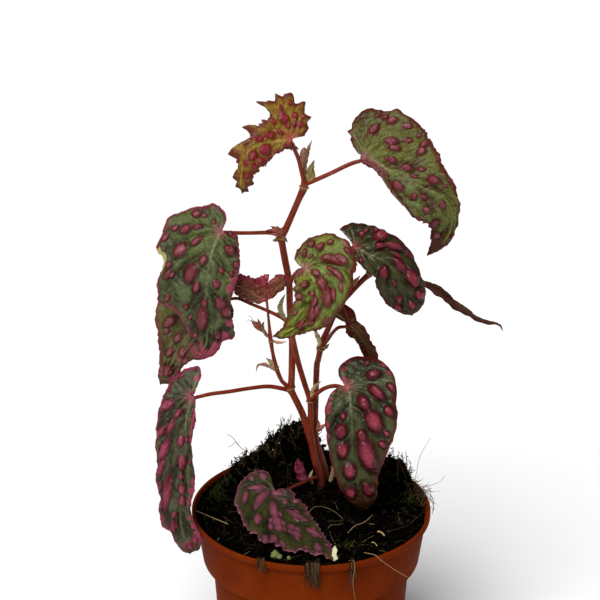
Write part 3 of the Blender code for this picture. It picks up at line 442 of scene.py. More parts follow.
# Canes and stalks as (x, y, z, radius) stations. A stalk's end is the name of the blade it carries.
# The first of stems_main is the middle cane, from the soil through its node to the second leaf on
# the left. The second is the left cane, from its fork through two nodes to the top leaf, and the
# third the thin cane at the left. The first of stem_right is the right cane. The rest are stalks.
CANES = {
    "stems_main": [
        [
            (4.4, 9.5, 85, 1.9), (4.4, 9.5, 99.5, 1.9), (1.6, 10, 110, 1.7), (-0.1, 10.3, 120.5, 1.5),
            (-0.3, 10.5, 130, 1.25), (-0.4, 10.5, 136, 1.25), (-0.5, 10.5, 138.5, 1.6), (-1.4, 10.3, 141, 1.25),
            (-3.4, 9, 148, 1.25), (-6, 7, 158.5, 1.25), (-8, 5, 169, 1.2), (-9.6, 4.3, 175, 1.2),
            (-10.4, 4, 177.2, 1.35), (-12.4, 4, 178.8, 0.9), (-18.4, 4.5, 181.7, 0.75), (-26, 5.5, 184.7, 0.7),
            (-31, 7.4, 186.2, 0.7), "leaf_left_mid",
        ],
        [
            (1.2, 10, 113, 1.2), (-1.2, 10, 122, 1.5), (-3.6, 9.8, 131, 1.5), (-7.9, 9, 141.2, 1.5),
            (-9, 9, 143.8, 1.85), (-8.6, 9, 147.5, 1.5), (-8.3, 9.6, 158, 1.5), (-8.3, 10, 167.2, 1.5),
            (-9.2, 10, 180, 1.45), (-9.5, 9.8, 192.3, 1.45), (-11.2, 9, 203, 1.5), (-12.4, 8, 210.6, 1.5),
            (-12.7, 8, 213.6, 1.9), (-10.7, 7.8, 217.2, 1.45), (-5.6, 7, 229.5, 1.35), (-3.2, 6.2, 235.6, 1.7),
            (-3.5, 5.5, 239, 1.0), (-4.1, 5, 241.5, 0.9), (-5.5, 4.4, 247.6, 0.85), (-7.6, 3.4, 253, 0.85), "leaf_top",
        ],
        [
            (-8.9, 9, 143.2, 1.0), (-11, 8.4, 146, 0.95), (-13, 8, 148.5, 0.9), (-15.2, 7, 155, 1.05),
            (-16.6, 6.4, 162, 0.8), (-17.4, 6, 168, 0.95), (-18.1, 4.4, 177, 0.6), "leaf_young",
        ],
        [
            (-3.4, 6.2, 235, 1.0), (-2.2, 6, 236.8, 0.95), (0, 5.8, 237.9, 0.95), (7.4, 5.4, 241.4, 0.9),
            (15.5, 5.4, 245.4, 0.9), "leaf_upper_right",
        ],
        [
            (-12.4, 8, 212.6, 1.0), (-14, 7.6, 214.4, 1.0), (-16, 7, 215.3, 0.95), (-19, 6, 215.9, 0.85),
            (-25.5, 3, 216.7, 0.8), (-30.6, 1.5, 217.2, 0.8), "leaf_left_big",
        ],
        [
            (-8.6, 9, 142.9, 1.0), (-10.6, 8.6, 143.7, 1.0), (-18.3, 6, 146.3, 0.9), (-26.4, 2.5, 147, 0.85),
            (-35.2, -1.5, 147.2, 0.85), (-43, -5, 147.6, 0.85), "leaf_left_low",
        ],
        [(-9.5, 9.8, 191.4, 0.9), (-8.7, 8.4, 193.2, 0.85), (-8, 7, 196, 0.8), (-5.5, 2.5, 200.5, 0.75), "leaf_center"],
        [
            (-0.5, 10.4, 138.2, 0.95), (0.6, 9, 139.4, 0.95), (3.3, 6.6, 143.5, 0.95), (6.7, 3.5, 147, 0.9),
            (10.5, 0.4, 149, 0.9), "leaf_low_right",
        ],
        [
            (3.9, 9.3, 99.6, 1.1), (2.6, 7.6, 101.4, 0.9), (1.5, 6, 102.3, 0.8), (-3.6, 2, 102, 0.75),
            (-9.7, -2.5, 101.3, 0.7), "leaf_soil",
        ],
        [(3.9, 9.3, 100.4, 0.9), (0.5, 8.8, 101.2, 0.6), (-2.2, 8.6, 100.9, 0.55), "leaf_tiny"],
    ],
    "stem_right": [
        [
            (7.2, 13.8, 85, 1.5), (7, 13.8, 99, 1.5), (3.8, 13.9, 111, 1.45), (1.9, 14.4, 119.5, 1.4),
            (2, 15, 137.3, 1.35), (2.4, 15, 151.6, 1.35), (3, 15, 155, 1.3), (3.7, 15, 158.6, 1.35),
            (4.1, 15, 161.2, 1.65), (7.2, 14.5, 169.6, 1.25), (11.7, 14, 180, 1.2), (16.8, 13, 187, 1.2),
            (22, 12.5, 193, 1.2), (24.8, 12, 196.1, 1.5), (23.6, 11.4, 198.6, 0.9), (21, 10.6, 201, 0.85),
            (18.6, 9.6, 203.6, 0.8), (17.4, 8.6, 206.8, 0.8), "leaf_right_dark",
        ],
        [
            (23, 12.3, 194, 0.85), (25.6, 12.4, 196.2, 0.9), (31.2, 14, 196.6, 0.85), (39.9, 15.4, 192.8, 0.75),
            "leaf_right_tail",
        ],
        [
            (3.9, 15, 160.3, 0.9), (5, 14.4, 162, 0.9), (7, 11, 166, 0.85), (9, 6.6, 171, 0.8),
            (11.4, 3.4, 174.6, 0.75), "leaf_fold_mid",
        ],
    ],
}
# Rings on the canes where a leaf or a scale has grown, as (x, y, z, reach)
NODES = (
    (-0.5, 10.5, 138.2, 1.3), (-10.2, 4, 177, 1.6), (-9, 9, 143.6, 1.6), (-12.6, 8, 213.4, 1.7),
    (-3.2, 6.2, 235.6, 1.8), (-9.5, 9.8, 192, 1.2), (4.1, 15, 161, 1.5), (24.6, 12, 196, 1.8), (-15.2, 7, 155, 1.0),
    (-17.4, 6, 168, 1.0), (2.3, 15, 121, 1.2), (4.4, 9.5, 99.5, 1.2),
)
# Papery scales as their half width, colours from root to tip, and points from root to tip
SCALES = (
    (1.35, "#8a5640", "#5c5030", ((-3.3, 5.8, 240), (-3.2, 5.6, 246), (-1.8, 5.2, 251), (0, 5, 255.4))),
    (1.75, "#7c6a34", "#6a6230", ((-2.4, 6, 236.6), (-1.3, 5, 240), (-0.3, 4.4, 244), (1, 4, 247.6))),
    (1.1, "#8a7840", "#5c5428", ((-1.6, 5.6, 237), (0.4, 4.8, 240), (0.8, 4.4, 243.6))),
    (1.2, "#94443c", "#7c3830", ((-12.6, 7.6, 214.6), (-15.6, 6, 216.6), (-19, 5, 217.2))),
    (1.2, "#a4504c", "#86403a", ((-12.6, 7.4, 214.8), (-14.8, 5.8, 217.2), (-17, 5, 219))),
    (1.1, "#9c4a44", "#8c4440", ((-12.6, 7, 215), (-13.8, 5.4, 217.4), (-14.6, 4.8, 219.2))),
    (1.0, "#a85450", "#7c3430", ((-12.4, 6.8, 215), (-12.6, 5.4, 217), (-12.2, 5, 218.6))),
    (0.9, "#8c4038", "#94504a", ((-12.8, 6, 214.4), (-15.2, 4.6, 215.6), (-17.4, 4, 215.8))),
    (0.8, "#5c5230", "#3a2c18", ((-13, 6.6, 213.8), (-11.4, 6, 213), (-9.9, 5.8, 211.8))),
    (1.0, "#8c7c50", "#5a5228", ((-13.4, 7.6, 213.4), (-14.8, 6.6, 212.4), (-16.4, 6, 212.6))),
    (1.1, "#a89868", "#8c7c50", ((-0.4, 9.8, 139.6), (0.6, 8.6, 143), (2, 8, 145.6), (4.2, 7.5, 148.2))),
    (0.8, "#b8a878", "#6c2c24", ((-0.6, 9.6, 139.4), (1.6, 8, 141.6), (3.6, 7.4, 143.4))),
    (1.25, "#b0a474", "#7c7440", ((-15.4, 6.8, 153.6), (-17, 5.8, 157), (-19.4, 5, 160))),
    (0.85, "#b08070", "#602420", ((-15.4, 6.8, 153.4), (-19.9, 5.5, 156.6), (-22.9, 5, 156.4), (-23.8, 5, 153.5))),
    (1.1, "#7c7848", "#4c5030", ((-10.4, 3.6, 177.4), (-12.2, 2.8, 179.6), (-14.6, 2.4, 182))),
    (1.2, "#98986c", "#787c50", ((-11.6, 8, 178), (-13.4, 7.8, 181), (-12.6, 7.6, 185), (-11, 7.6, 188.4))),
    (0.9, "#5c4c2c", "#8c5a34", ((-17.6, 5.8, 169), (-19.6, 5.4, 170.6), (-20.2, 5.2, 173.8))),
    (1.0, "#a83c38", "#701c1c", ((-21.4, 5.6, 172.8), (-23.4, 5.2, 174), (-25.6, 5, 177.4))),
    (0.9, "#6a6030", "#4c4824", ((-20.6, 5.6, 171.8), (-21, 4.8, 174.4), (-20, 4.6, 177))),
    (0.8, "#8c3430", "#5c1c1c", ((-22, 5, 173.4), (-22.2, 4.4, 176), (-22.8, 4.2, 178.4))),
    (0.7, "#a06048", "#b08c60", ((-17.4, 6, 167.6), (-15.4, 5.6, 167), (-12.8, 5.4, 166.8), (-10.4, 5.4, 167.6))),
    (1.1, "#b8b08c", "#a09870", ((3.4, 13.4, 162), (3.2, 12.8, 165), (1.8, 12.4, 169), (2.4, 12.2, 172))),
    (1.0, "#8c6c48", "#5c3420", ((4.4, 14, 160.6), (6, 12.8, 161.6), (7.8, 12.4, 163.6))),
    (1.3, "#9c5240", "#8c6c44", ((15.9, 12.8, 187), (18.2, 11.4, 191.6), (20.6, 11, 195.4))),
    (1.2, "#a86058", "#904444", ((2.4, 13.6, 121), (4.4, 12, 123.6), (6.6, 11.4, 126.2))),
    (0.9, "#a08050", "#a06058", ((2.4, 13.4, 121.6), (3.4, 12, 125), (3, 11.6, 128))),
    (1.1, "#b09870", "#8c7c50", ((8.6, 8.4, 99), (9.6, 6.6, 104), (9, 6, 108.6))),
    (1.0, "#a88c60", "#b0a078", ((0.6, 6.6, 99), (-0.4, 5.4, 102.6), (0.8, 5, 106.6))),
)
# Buds as their colour and (x, y, z, radius) stations
BUDS = (
    ("#74453a", (
        (-4.2, 5, 242.5, 0.6), (-4, 4.8, 245.6, 0.8), (-3.7, 4.4, 247.4, 1.35), (-3.4, 4.3, 249.8, 1.6),
        (-3.2, 4.4, 251.7, 1.1), (-3.1, 4.5, 252.6, 0.3),
    )),
    ("#7c2c24", ((-21.2, 5.8, 172.4, 0.7), (-22.6, 5.4, 174, 1.2), (-23.8, 5.2, 175.6, 1.1), (-24.8, 5, 176.8, 0.3))),
    ("#8c3c30", ((-12.4, 6.8, 215.2, 0.8), (-14, 5.6, 216.8, 1.2), (-15.6, 5, 217.4, 1.0), (-16.6, 5, 217.8, 0.3))),
    ("#6c3c28", ((-17.6, 6, 168.4, 0.6), (-19.4, 5.8, 170.8, 0.55), (-21.4, 5.8, 172.6, 0.6))),
    ("#5a3420", ((-24.4, 5, 176.6, 0.12), (-25.6, 5, 178.6, 0.1), (-27, 5, 179.4, 0.06))),
    ("#5a3420", ((-24.6, 5, 176.2, 0.12), (-26.4, 5, 177.4, 0.1), (-27.6, 5, 177.2, 0.06))),
)
# Papery rings where scales have fallen, as (x, y, z), the way of the cane and the radius
RINGS = (
    ((-3.2, 6.2, 235.4), (0.2, 0, 1), 1.75),
    ((-12.6, 8, 213), (0.3, 0, 1), 1.85),
    ((-9, 9, 144.4), (-0.2, 0, 1), 1.85),
    ((-0.4, 10.5, 137.4), (0, 0, 1), 1.6),
    ((4.1, 15, 160.2), (0.2, 0, 1), 1.65),
    ((24.4, 12.1, 195.6), (0.7, 0, 0.7), 1.5),
    ((-15.2, 7, 154.6), (-0.2, 0, 1), 1.1),
    ((-17.3, 6, 167.6), (-0.1, 0, 1), 1.05),
    ((-10.2, 4, 176.8), (-0.5, 0, 0.8), 1.4),
)
RING_COLOUR = "#9a7a54"
# How many sides the round parts have, and how many steps from one station to the next
CANE_SIDES, CANE_STEPS = 14, 8
BUD_SIDES, BUD_STEPS = 12, 6
STRAW_SIDES, STRAW_STEPS = 6, 4
RING_SIDES = 28
SCALE_ROWS, SCALE_COLUMNS = 21, 9
SCALE_THICKNESS = 0.26

# Blisters as (along the midrib, across it with left positive, half length along the vein, half width)
SPOTS = {
    "leaf_top": (
        (1.3, -13.0, 1.0, 0.7), (1.2, -8.9, 2.1, 1.6), (5.9, -8.1, 1.2, 0.9), (0.2, -5.2, 1.0, 0.7),
        (-4.0, -9.1, 1.2, 1.0), (-2.8, -5.7, 1.0, 0.8), (-7.6, -8.3, 1.0, 0.7), (-5.4, -5.2, 1.2, 1.0),
        (8.9, -2.6, 1.8, 1.4), (4.0, -3.2, 1.2, 0.9), (13.2, -2.2, 1.4, 1.1), (-3.0, -14.6, 1.0, 0.8),
        (19.9, 2.4, 2.2, 1.3), (12.8, 3.0, 2.3, 1.8), (24.3, 1.4, 1.2, 1.0), (19.7, 6.4, 1.9, 1.3),
        (24.4, 4.9, 1.3, 1.0), (29.5, 2.1, 1.3, 1.1),
    ),
    "leaf_upper_right": (
        (-1.6, 14.5, 2.4, 1.4), (-3.5, 21.4, 1.5, 0.7), (0.1, 22.0, 1.5, 1.1), (3.6, 20.9, 1.6, 1.2),
        (7.8, 21.7, 1.2, 0.8), (6.7, 12.0, 1.8, 1.3), (9.1, 9.5, 1.7, 1.3), (10.9, 16.3, 1.3, 1.0),
        (20.2, 14.5, 1.9, 1.4), (19.5, 17.7, 1.9, 1.6), (11.0, 4.3, 1.5, 1.1), (18.4, 5.2, 2.3, 1.7),
        (24.3, 7.2, 1.3, 1.0), (23.0, 2.9, 1.3, 0.9), (30.9, 4.7, 2.2, 1.7), (19.0, -4.0, 1.9, 1.3),
        (30.1, -3.1, 1.3, 0.8), (39.5, -2.3, 1.7, 1.1), (33.5, -8.0, 1.5, 1.2), (26.5, -5.0, 1.1, 0.9),
        (49.2, -7.6, 2.5, 1.8), (29.8, 15.1, 1.5, 1.2), (37.1, 8.4, 1.2, 0.8), (58.2, -4.3, 1.6, 1.3),
    ),
    "leaf_left_big": (
        (-2.9, -13.4, 1.5, 1.2), (4.5, -14.7, 1.8, 1.3), (5.4, -19.1, 1.1, 0.6), (2.1, -10.0, 1.7, 1.0),
        (9.0, -21.9, 1.3, 0.9), (7.0, -8.0, 2.1, 1.0), (11.6, -13.8, 2.5, 2.1), (17.4, -17.2, 1.2, 0.8),
        (13.6, -2.9, 1.8, 1.4), (20.9, -17.3, 1.8, 1.2), (19.4, -7.4, 3.4, 2.2), (24.6, -4.6, 1.8, 1.3),
        (6.3, 6.9, 2.2, 1.8), (12.9, 11.5, 1.6, 1.4), (17.2, 9.6, 1.1, 0.9), (22.7, 3.9, 1.5, 1.2),
        (16.6, 5.3, 1.1, 0.8), (30.3, -16.9, 1.4, 1.0), (33.3, -8.9, 1.2, 1.0), (30.9, -1.0, 1.4, 1.2),
        (38.4, -2.0, 4.4, 2.0), (31.2, 5.8, 2.5, 1.9), (35.0, 8.3, 2.3, 1.8), (45.9, 4.5, 1.7, 1.2),
    ),
    "leaf_left_mid": (
        (23.5, -10.5, 2.5, 1.6), (26.7, -3.6, 1.7, 1.3), (27.4, -9.2, 1.2, 0.9), (30.5, 1.5, 1.8, 1.3),
        (33.5, -3.1, 1.7, 1.2), (41.3, 0.3, 1.9, 1.6), (40.4, 4.9, 1.5, 1.1),
    ),
    "leaf_left_low": (
        (5.6, -10.0, 2.8, 1.7), (8.0, -4.0, 1.9, 1.1), (13.9, -6.5, 2.7, 1.3), (16.8, -10.7, 2.5, 1.3),
        (24.1, -8.2, 4.2, 1.5), (31.5, -9.1, 3.0, 1.3), (39.5, -9.7, 1.7, 1.0), (41.9, -6.1, 6.5, 1.5),
        (19.0, -1.1, 1.9, 1.2), (27.8, 0.3, 2.7, 1.5), (34.1, 0.3, 1.0, 0.8), (39.4, 0.6, 1.9, 1.2),
        (44.7, 0.5, 1.7, 1.2), (51.0, -2.7, 1.2, 0.9), (56.1, -3.4, 2.0, 1.2), (66.0, 1.8, 1.2, 1.0),
        (63.2, 4.6, 1.3, 1.0),
    ),
    "leaf_center": (
        (-6.5, 9.2, 1.4, 1.1), (-3.2, 11.1, 1.6, 1.2), (-1.8, 15.6, 1.1, 0.9), (-5.2, 4.4, 1.5, 0.8),
        (-2.2, 5.3, 0.8, 0.5), (3.6, 10.7, 3.2, 1.2), (5.3, 14.7, 1.6, 0.8), (4.9, 2.3, 1.4, 1.1), (7.9, 9.8, 1.8, 0.9),
        (9.2, 2.5, 2.0, 1.6), (13.5, 4.4, 2.5, 2.0), (12.6, 6.8, 1.5, 0.9), (13.0, -2.0, 1.0, 0.8),
        (7.0, -4.5, 1.4, 1.2), (16.5, -7.1, 1.8, 1.5), (16.4, -0.4, 1.8, 1.3), (20.5, 1.5, 2.6, 2.2),
        (23.8, 3.2, 1.4, 0.9), (27.4, 0.6, 1.8, 1.3), (10.9, 9.9, 0.8, 0.6), (25.3, -4.6, 1.0, 0.7),
    ),
    "leaf_right_dark": (
        (8.9, 10.2, 3.3, 2.4), (5.5, 12.0, 1.6, 1.3), (10.2, 5.4, 1.7, 1.2), (14.6, 8.0, 2.2, 1.2),
        (19.1, 9.8, 1.2, 1.0), (20.0, 3.5, 3.0, 1.5), (26.2, 5.6, 3.2, 2.2), (17.6, -4.2, 2.8, 2.1),
        (34.9, 6.4, 2.2, 1.6), (33.0, -2.2, 1.6, 1.3), (38.0, 1.8, 1.5, 1.3), (36.5, -4.0, 1.5, 1.3),
        (25.1, -2.3, 1.1, 0.8), (0.8, 7.1, 1.3, 1.0), (1.6, 9.3, 0.9, 0.7), (16.8, 5.4, 1.3, 0.5),
    ),
    "leaf_low_right": (
        (-1.9, 12.8, 2.4, 1.8), (-8.0, 11.5, 0.9, 0.7), (5.8, 11.9, 2.8, 1.5), (9.0, 5.7, 2.8, 1.9),
        (16.4, 9.4, 3.9, 2.9), (22.2, 4.0, 2.3, 1.8), (30.7, 5.9, 6.5, 3.0), (12.7, 15.9, 1.9, 1.5),
        (5.3, 18.2, 1.6, 0.8), (13.5, -3.6, 1.4, 1.2), (20.0, -4.8, 2.7, 2.2), (27.8, -4.4, 2.7, 2.2),
        (37.1, -2.3, 2.8, 2.2), (26.3, 12.5, 1.6, 1.3), (21.4, 14.5, 1.2, 0.9), (47.8, 3.3, 2.6, 1.9),
        (47.2, -4.1, 2.4, 1.8),
    ),
    "leaf_soil": (
        (-5.9, -12.2, 1.1, 0.9), (-7.4, -7.3, 1.6, 1.3), (-1.0, -9.5, 3.2, 1.3), (3.5, -13.1, 1.1, 0.9),
        (3.9, -6.5, 3.4, 1.4), (10.4, -2.2, 4.4, 1.5), (16.4, -3.8, 3.0, 1.7), (19.8, -5.2, 1.8, 1.4),
        (17.2, -7.4, 1.7, 0.8), (11.7, -10.4, 2.2, 1.3), (6.5, 4.1, 1.2, 1.0), (7.3, 8.8, 1.7, 1.3),
        (17.1, 5.3, 5.2, 1.2), (22.7, -0.4, 1.9, 1.3), (27.8, -1.6, 2.2, 1.3), (31.4, 4.6, 3.2, 1.2),
        (40.6, -0.1, 1.8, 1.2), (42.4, 3.9, 1.4, 0.7), (22.1, -13.5, 1.9, 1.1), (23.8, -10.4, 1.9, 1.1),
        (29.1, -9.8, 1.9, 0.9), (18.9, 10.2, 1.7, 0.7), (14.2, -5.6, 1.4, 0.7), (18.6, -2.0, 1.5, 0.7),
        (21.7, -3.6, 1.2, 0.6), (12.8, -0.4, 1.2, 0.6), (19.6, 3.8, 1.6, 0.6), (14.4, 6.8, 1.5, 0.6),
        (22.6, 6.8, 1.2, 0.5), (25.4, 0.8, 1.4, 0.6), (24.4, -2.6, 1.2, 0.6), (30.2, -3.0, 1.1, 0.5),
        (29.2, 6.0, 1.1, 0.5), (33.6, 3.4, 1.1, 0.5), (5.6, -8.2, 1.4, 0.7), (0.8, -7.8, 1.5, 0.6),
        (12.9, -11.4, 1.1, 0.6), (38.6, 1.0, 1.1, 0.5),
    ),
}
# Places of another colour as (along the midrib, across it, reach). PATCHES take the warm colour of
# the look, BLUSHES that of its margin and CREAMS cream.
PATCHES = {
    "leaf_fold_mid": ((7, -8, 3.4), (11, -10.6, 4.4), (14, -12.6, 4), (0, -2, 3), (-5, 6, 3), (19, -3, 2.6)),
    "leaf_left_big": ((6, -6, 9), (2, -16, 7), (20, 11, 6)),
    "leaf_left_mid": ((20, -12, 9), (8, 4, 7)),
    "leaf_upper_right": ((4, 8, 9), (14, 16, 8), (27, 12, 6), (41, 13, 5), (46, 1, 7), (57, 6, 6), (64, 1, 5)),
    "leaf_center": ((25, 2, 8), (32, 0, 8), (-5, 14, 5), (3, -4, 4)),
    "leaf_low_right": ((38, -6, 9), (42, 4, 9), (30, 10, 7)),
    "leaf_top": ((10, 2, 8), (0, -10, 7)),
    "leaf_young": ((6, 2.5, 3.4), (11, 3, 3.4), (-3, -8, 3)),
}
BLUSHES = {
    "leaf_left_big": (
        (55, 0, 3.4), (59, 0.7, 3.4), (54.7, 4, 3.2), (50.5, 4.5, 2.6), (51, -3.4, 2.4), (46, 7, 2), (57, 6.6, 2.6),
        (53, 7.6, 2.4), (61, 3.4, 2.6), (40, 9, 2), (36, 11, 3), (32, 10.6, 1.6), (24, 9.6, 2.2), (20, 10.6, 1.8),
        (15, 12, 1.4), (-0.9, 8, 2),
    ),
    "leaf_left_low": (
        (6, 3, 1.8), (9, 3.4, 1.8), (12, 4, 1.8), (15, 4, 1.6), (18, 4, 1.4), (-8, 0, 1.4), (36, 6, 1.8), (40, 5, 1.8),
        (44, 4.4, 1.8), (51.4, 5.4, 2), (56, 6, 2), (60.6, 6.6, 2.2), (66, 1, 3), (63, 5, 2.4), (47.3, -9, 2),
        (53, -9, 2), (31, -10, 1.6),
    ),
    "leaf_left_mid": ((40, 5.5, 2.6), (33, 3, 2.4), (43, -2, 2.2), (26, 4, 2.6), (44, 3, 2.2)),
    "leaf_upper_right": ((2.8, -1, 2), (6.5, -1.6, 2.2), (11, -2.6, 2.4), (66, 0, 3), (62, -4, 2.4)),
    "leaf_center": (
        (4.5, -9, 2.4), (10, -9.4, 2), (15, -9.4, 2), (21, -8, 1.8), (-0.9, -3, 2.6), (4, 20, 2), (10, 17, 2),
    ),
    "leaf_top": ((3, 2.6, 1.4), (7, 4.4, 1.6), (11, 5.8, 1.8), (15, 7, 1.9), (19.5, 7.6, 2), (24, 6.8, 1.7)),
    "leaf_low_right": (
        (4.3, -8.6, 1.8), (8, -9.6, 1.8), (10.3, -10.2, 2), (16.8, -11.2, 2), (22, -11, 1.8), (0.8, -6.5, 1.4),
        (-11.4, 3.4, 1.6), (-8, 1.4, 1.4), (-3.1, 0, 1.4), (-5.4, 18.4, 1.4), (-0.9, 19.4, 1.4),
    ),
    "leaf_young": ((6, -9.6, 3), (5, -6, 2.4), (8, -7, 2.4), (11, -4.6, 1.8), (13.4, -4.4, 1.4)),
}
CREAMS = {"leaf_left_big": ((14, -21.4, 2.6), (17.6, -20, 2.6))}


# Lines and surfaces


def unit(vectors):
    return vectors / np.maximum(np.linalg.norm(vectors, axis=-1, keepdims=True), 1e-9)


def step_lengths(line):
    return np.linalg.norm(np.diff(line, axis=0), axis=1)


def run_along(line):
    """How far along the line each of its points lies."""
    return np.r_[0, np.cumsum(step_lengths(line))]


def blend_at(where, known, rows):
    """Each column of rows, known at the places in known, read between them."""
    return np.stack([np.interp(where, known, column) for column in np.asarray(rows, float).T], -1)


def curve_through(points, steps):
    """The Catmull-Rom curve through the given points, with this many steps from one to the next."""
    given = np.asarray(points, float)
    ends = np.vstack([2 * given[0] - given[1], given, 2 * given[-1] - given[-2]])
    t = np.linspace(0, 1, steps, endpoint=False)[:, None]
    runs = []
    for a, b, c, d in zip(ends, ends[1:], ends[2:], ends[3:]):
        bend = (2 * a - 5 * b + 4 * c - d) * t**2 + (3 * b - 3 * c + d - a) * t**3
        runs.append(0.5 * (2 * b + (c - a) * t + bend))
    return np.vstack(runs + [given[-1:]])


def smooth_line(points, count):
    """Evenly spaced points on that curve."""
    fine = curve_through(points, CURVE_STEPS)
    far = run_along(fine)
    return blend_at(np.linspace(0, far[-1], count), far, fine)


class Spine:
    """The midrib of a leaf as a smooth line with the blade's own directions along it."""

    def __init__(self, sizes):
        self.sizes = sizes
        self.middle = smooth_line(sizes.midrib, SPINE_STEPS)
        self.length = step_lengths(self.middle).sum()
        self.share = np.linspace(0, 1, SPINE_STEPS)
        self.along = unit(np.gradient(self.middle, axis=0))
        face = blend_at(self.share, np.linspace(0, 1, len(sizes.face)), sizes.face)
        self.face = unit(face - (face * self.along).sum(1, keepdims=True) * self.along)
        self.across = np.cross(self.face, self.along)

    def angle_at(self, share, name):
        stated = getattr(self.sizes, name)
        return np.radians(np.interp(share, np.linspace(0, 1, len(stated)), stated))

    def place(self, share, across, side):
        """The point at this share of the midrib and this far across; side is 1 left and -1 right."""
        middle, along, face, sideways = (
            blend_at(share, self.share, rows) for rows in (self.middle, self.along, self.face, self.across)
        )
        past = np.minimum(share, 0) + np.maximum(share - 1, 0)
        middle = middle + past[..., None] * self.length * along
        name = "left" if side > 0 else "right"
        fold = self.angle_at(share, name + "_fold")
        turn = self.angle_at(share, name + "_curl") / 10
        turn = np.where(np.abs(turn) < 1e-6, 1e-6, turn)
        out = (np.sin(fold + turn * across) - np.sin(fold)) / turn
        up = (np.cos(fold) - np.cos(fold + turn * across)) / turn
        return middle + side * out[..., None] * unit(sideways) + up[..., None] * unit(face)


def teeth_at(sizes, side, place):
    """How far the teeth stand out of the smooth margin: large ones, fine hooked ones and spikes."""
    saw = 1 - np.abs(2 * (place * sizes.large_teeth % 1) - 1)
    unequal = 0.6 + 0.4 * np.sin(61 * place + 4 * side) * np.sin(23 * place)
    small = place * sizes.large_teeth * 2.5 % 1
    fine = np.clip(small / 0.82, 0, 1) ** 1.5 * np.clip((1 - small) / 0.18, 0, 1)
    reach = (sizes.teeth * (saw - 0.45) + sizes.fine * unequal * fine) * np.clip((1 - place) * 12, 0, 1)
    for spiked, where, long, half in sizes.spikes:
        if spiked == side:
            reach = reach + long * np.clip(1 - np.abs(place - where) / half, 0, 1) ** 1.25
    return reach


def stated_margin(sizes, side):
    return sizes.left if side > 0 else sizes.right


def has_lobe(sizes, side):
    """Whether this half of the blade reaches back past the stalk."""
    return min(share for share, _ in stated_margin(sizes, side)) < LOBE_REACH


def bare_margin(sizes, side, length, steps):
    """One margin without its teeth, as distances along the midrib and across it."""
    stated = np.array([*stated_margin(sizes, side), (1, 0)], float)
    return smooth_line(stated * (length, 1), steps)


def margin(sizes, side, length):
    """Places 0 to 1 along one margin, and there the distance along the midrib and across it.

    Where there is no lobe, the places up to FAN all lie at the margin's start.
    """
    line = bare_margin(sizes, side, length, MARGIN_STEPS)
    far = run_along(line)
    lobe = far[np.argmax(line[:, 0] > FAN_REACH * length)] if has_lobe(sizes, side) else 0
    place = np.linspace(0, 1, MARGIN_STEPS)
    line = blend_at(np.interp(place, (0, FAN, 1), (0, lobe, far[-1])), far, line)
    outward = unit(np.gradient(line, axis=0))[:, ::-1] * (-1, 1)
    return place, line + outward * teeth_at(sizes, side, place)[:, None]


def vein_room(flat, place):
    """Distance between neighbouring veins over the grid of flat points (along the midrib, across it)."""
    vein = unit(np.gradient(flat, axis=1))
    over = np.gradient(flat, place, axis=0)
    return np.abs(vein[..., 0] * over[..., 1] - vein[..., 1] * over[..., 0]) / VEINS


def uneven(flat, size, seed):
    """A smooth field from about -1 to 1 with lumps of about this size."""
    u, v = 2 * np.pi * flat[..., 0] / size / 1.7 + seed, 2 * np.pi * flat[..., 1] / size / 1.7 - seed
    first = np.sin(u + 1.7 * np.sin(0.7 * v + seed)) * np.cos(0.9 * v + 1.3 * np.sin(1.1 * u + 2 * seed))
    return 0.6 * first + 0.4 * np.sin(1.6 * u - 1.3 * v + 1.1 * np.sin(0.8 * u + 3 * seed))


def relief(sizes, grid):
    """Height of the blade over its smooth surface: quilted between the veins, lumpy, and curled at the edge."""
    # The quilting, higher between the side veins, with lumps between the smaller veins that join them
    room = np.clip(grid.room / FULL_ROOM, 0, 1)
    between = (1 + np.cos(2 * np.pi * VEINS * grid.place)) / 2
    lumps = 0.65 + 0.35 * np.cos(2 * np.pi * (2.2 * grid.share + 0.37 * np.round(VEINS * grid.place)))
    inside = np.sin(np.pi * np.clip(grid.share, 0, 1) ** 0.8) * room
    second = np.sin(np.pi * np.clip(grid.share, 0, 1) ** 0.6) * room * -np.cos(4 * np.pi * VEINS * grid.place) / 2
    lobed = np.clip(0.4 + (grid.place - 0.9 * FAN) / 0.15, 0.4, 1)
    height = sizes.quilt * lobed * (1.15 * inside * (between * lumps - 0.3) + 0.55 * second)
    # Waves that grow towards the margin, which itself curls down
    wave = np.sin(2 * np.pi * 4.5 * grid.place) + 0.7 * np.sin(2 * np.pi * 11 * grid.place + 1) * grid.share**3
    curl = np.clip(1 - grid.rim / 2.6, 0, 1) ** 2
    height = height + sizes.ruffle * wave * grid.share**2 - 0.7 * curl * np.clip(grid.room, 0, 1)
    fine = (0.4 + 1.7 * sizes.streaked) * (0.3 * uneven(grid.flat, 3.2, 1) + 0.14 * uneven(grid.flat, 1.5, 2))
    return height + fine * np.clip(grid.room / 3, 0, 1) * np.clip(grid.rim, 0, 1)


def both(halves):
    """The grid from the right margin over the midrib to the left one."""
    return np.concatenate([halves[-1][:, :0:-1], halves[1]], axis=1)


def small_spots(name, sizes, grid):
    """Seeded small blisters between the measured ones."""
    rng = np.random.default_rng(sum(map(ord, name)))
    spots = []
    for _ in range(sizes.freckles):
        at = tuple(rng.integers(0, size) for size in grid.share.shape)
        between = abs(VEINS * grid.place[at] % 1 - 0.5)
        if grid.rim[at] > 0.7 and between > 0.12 and rng.uniform() < grid.share[at] and grid.room[at] > 1:
            long = rng.uniform(0.35, 0.95)
            spots.append((*grid.flat[at], long, long * rng.uniform(0.6, 0.95)))
    return spots


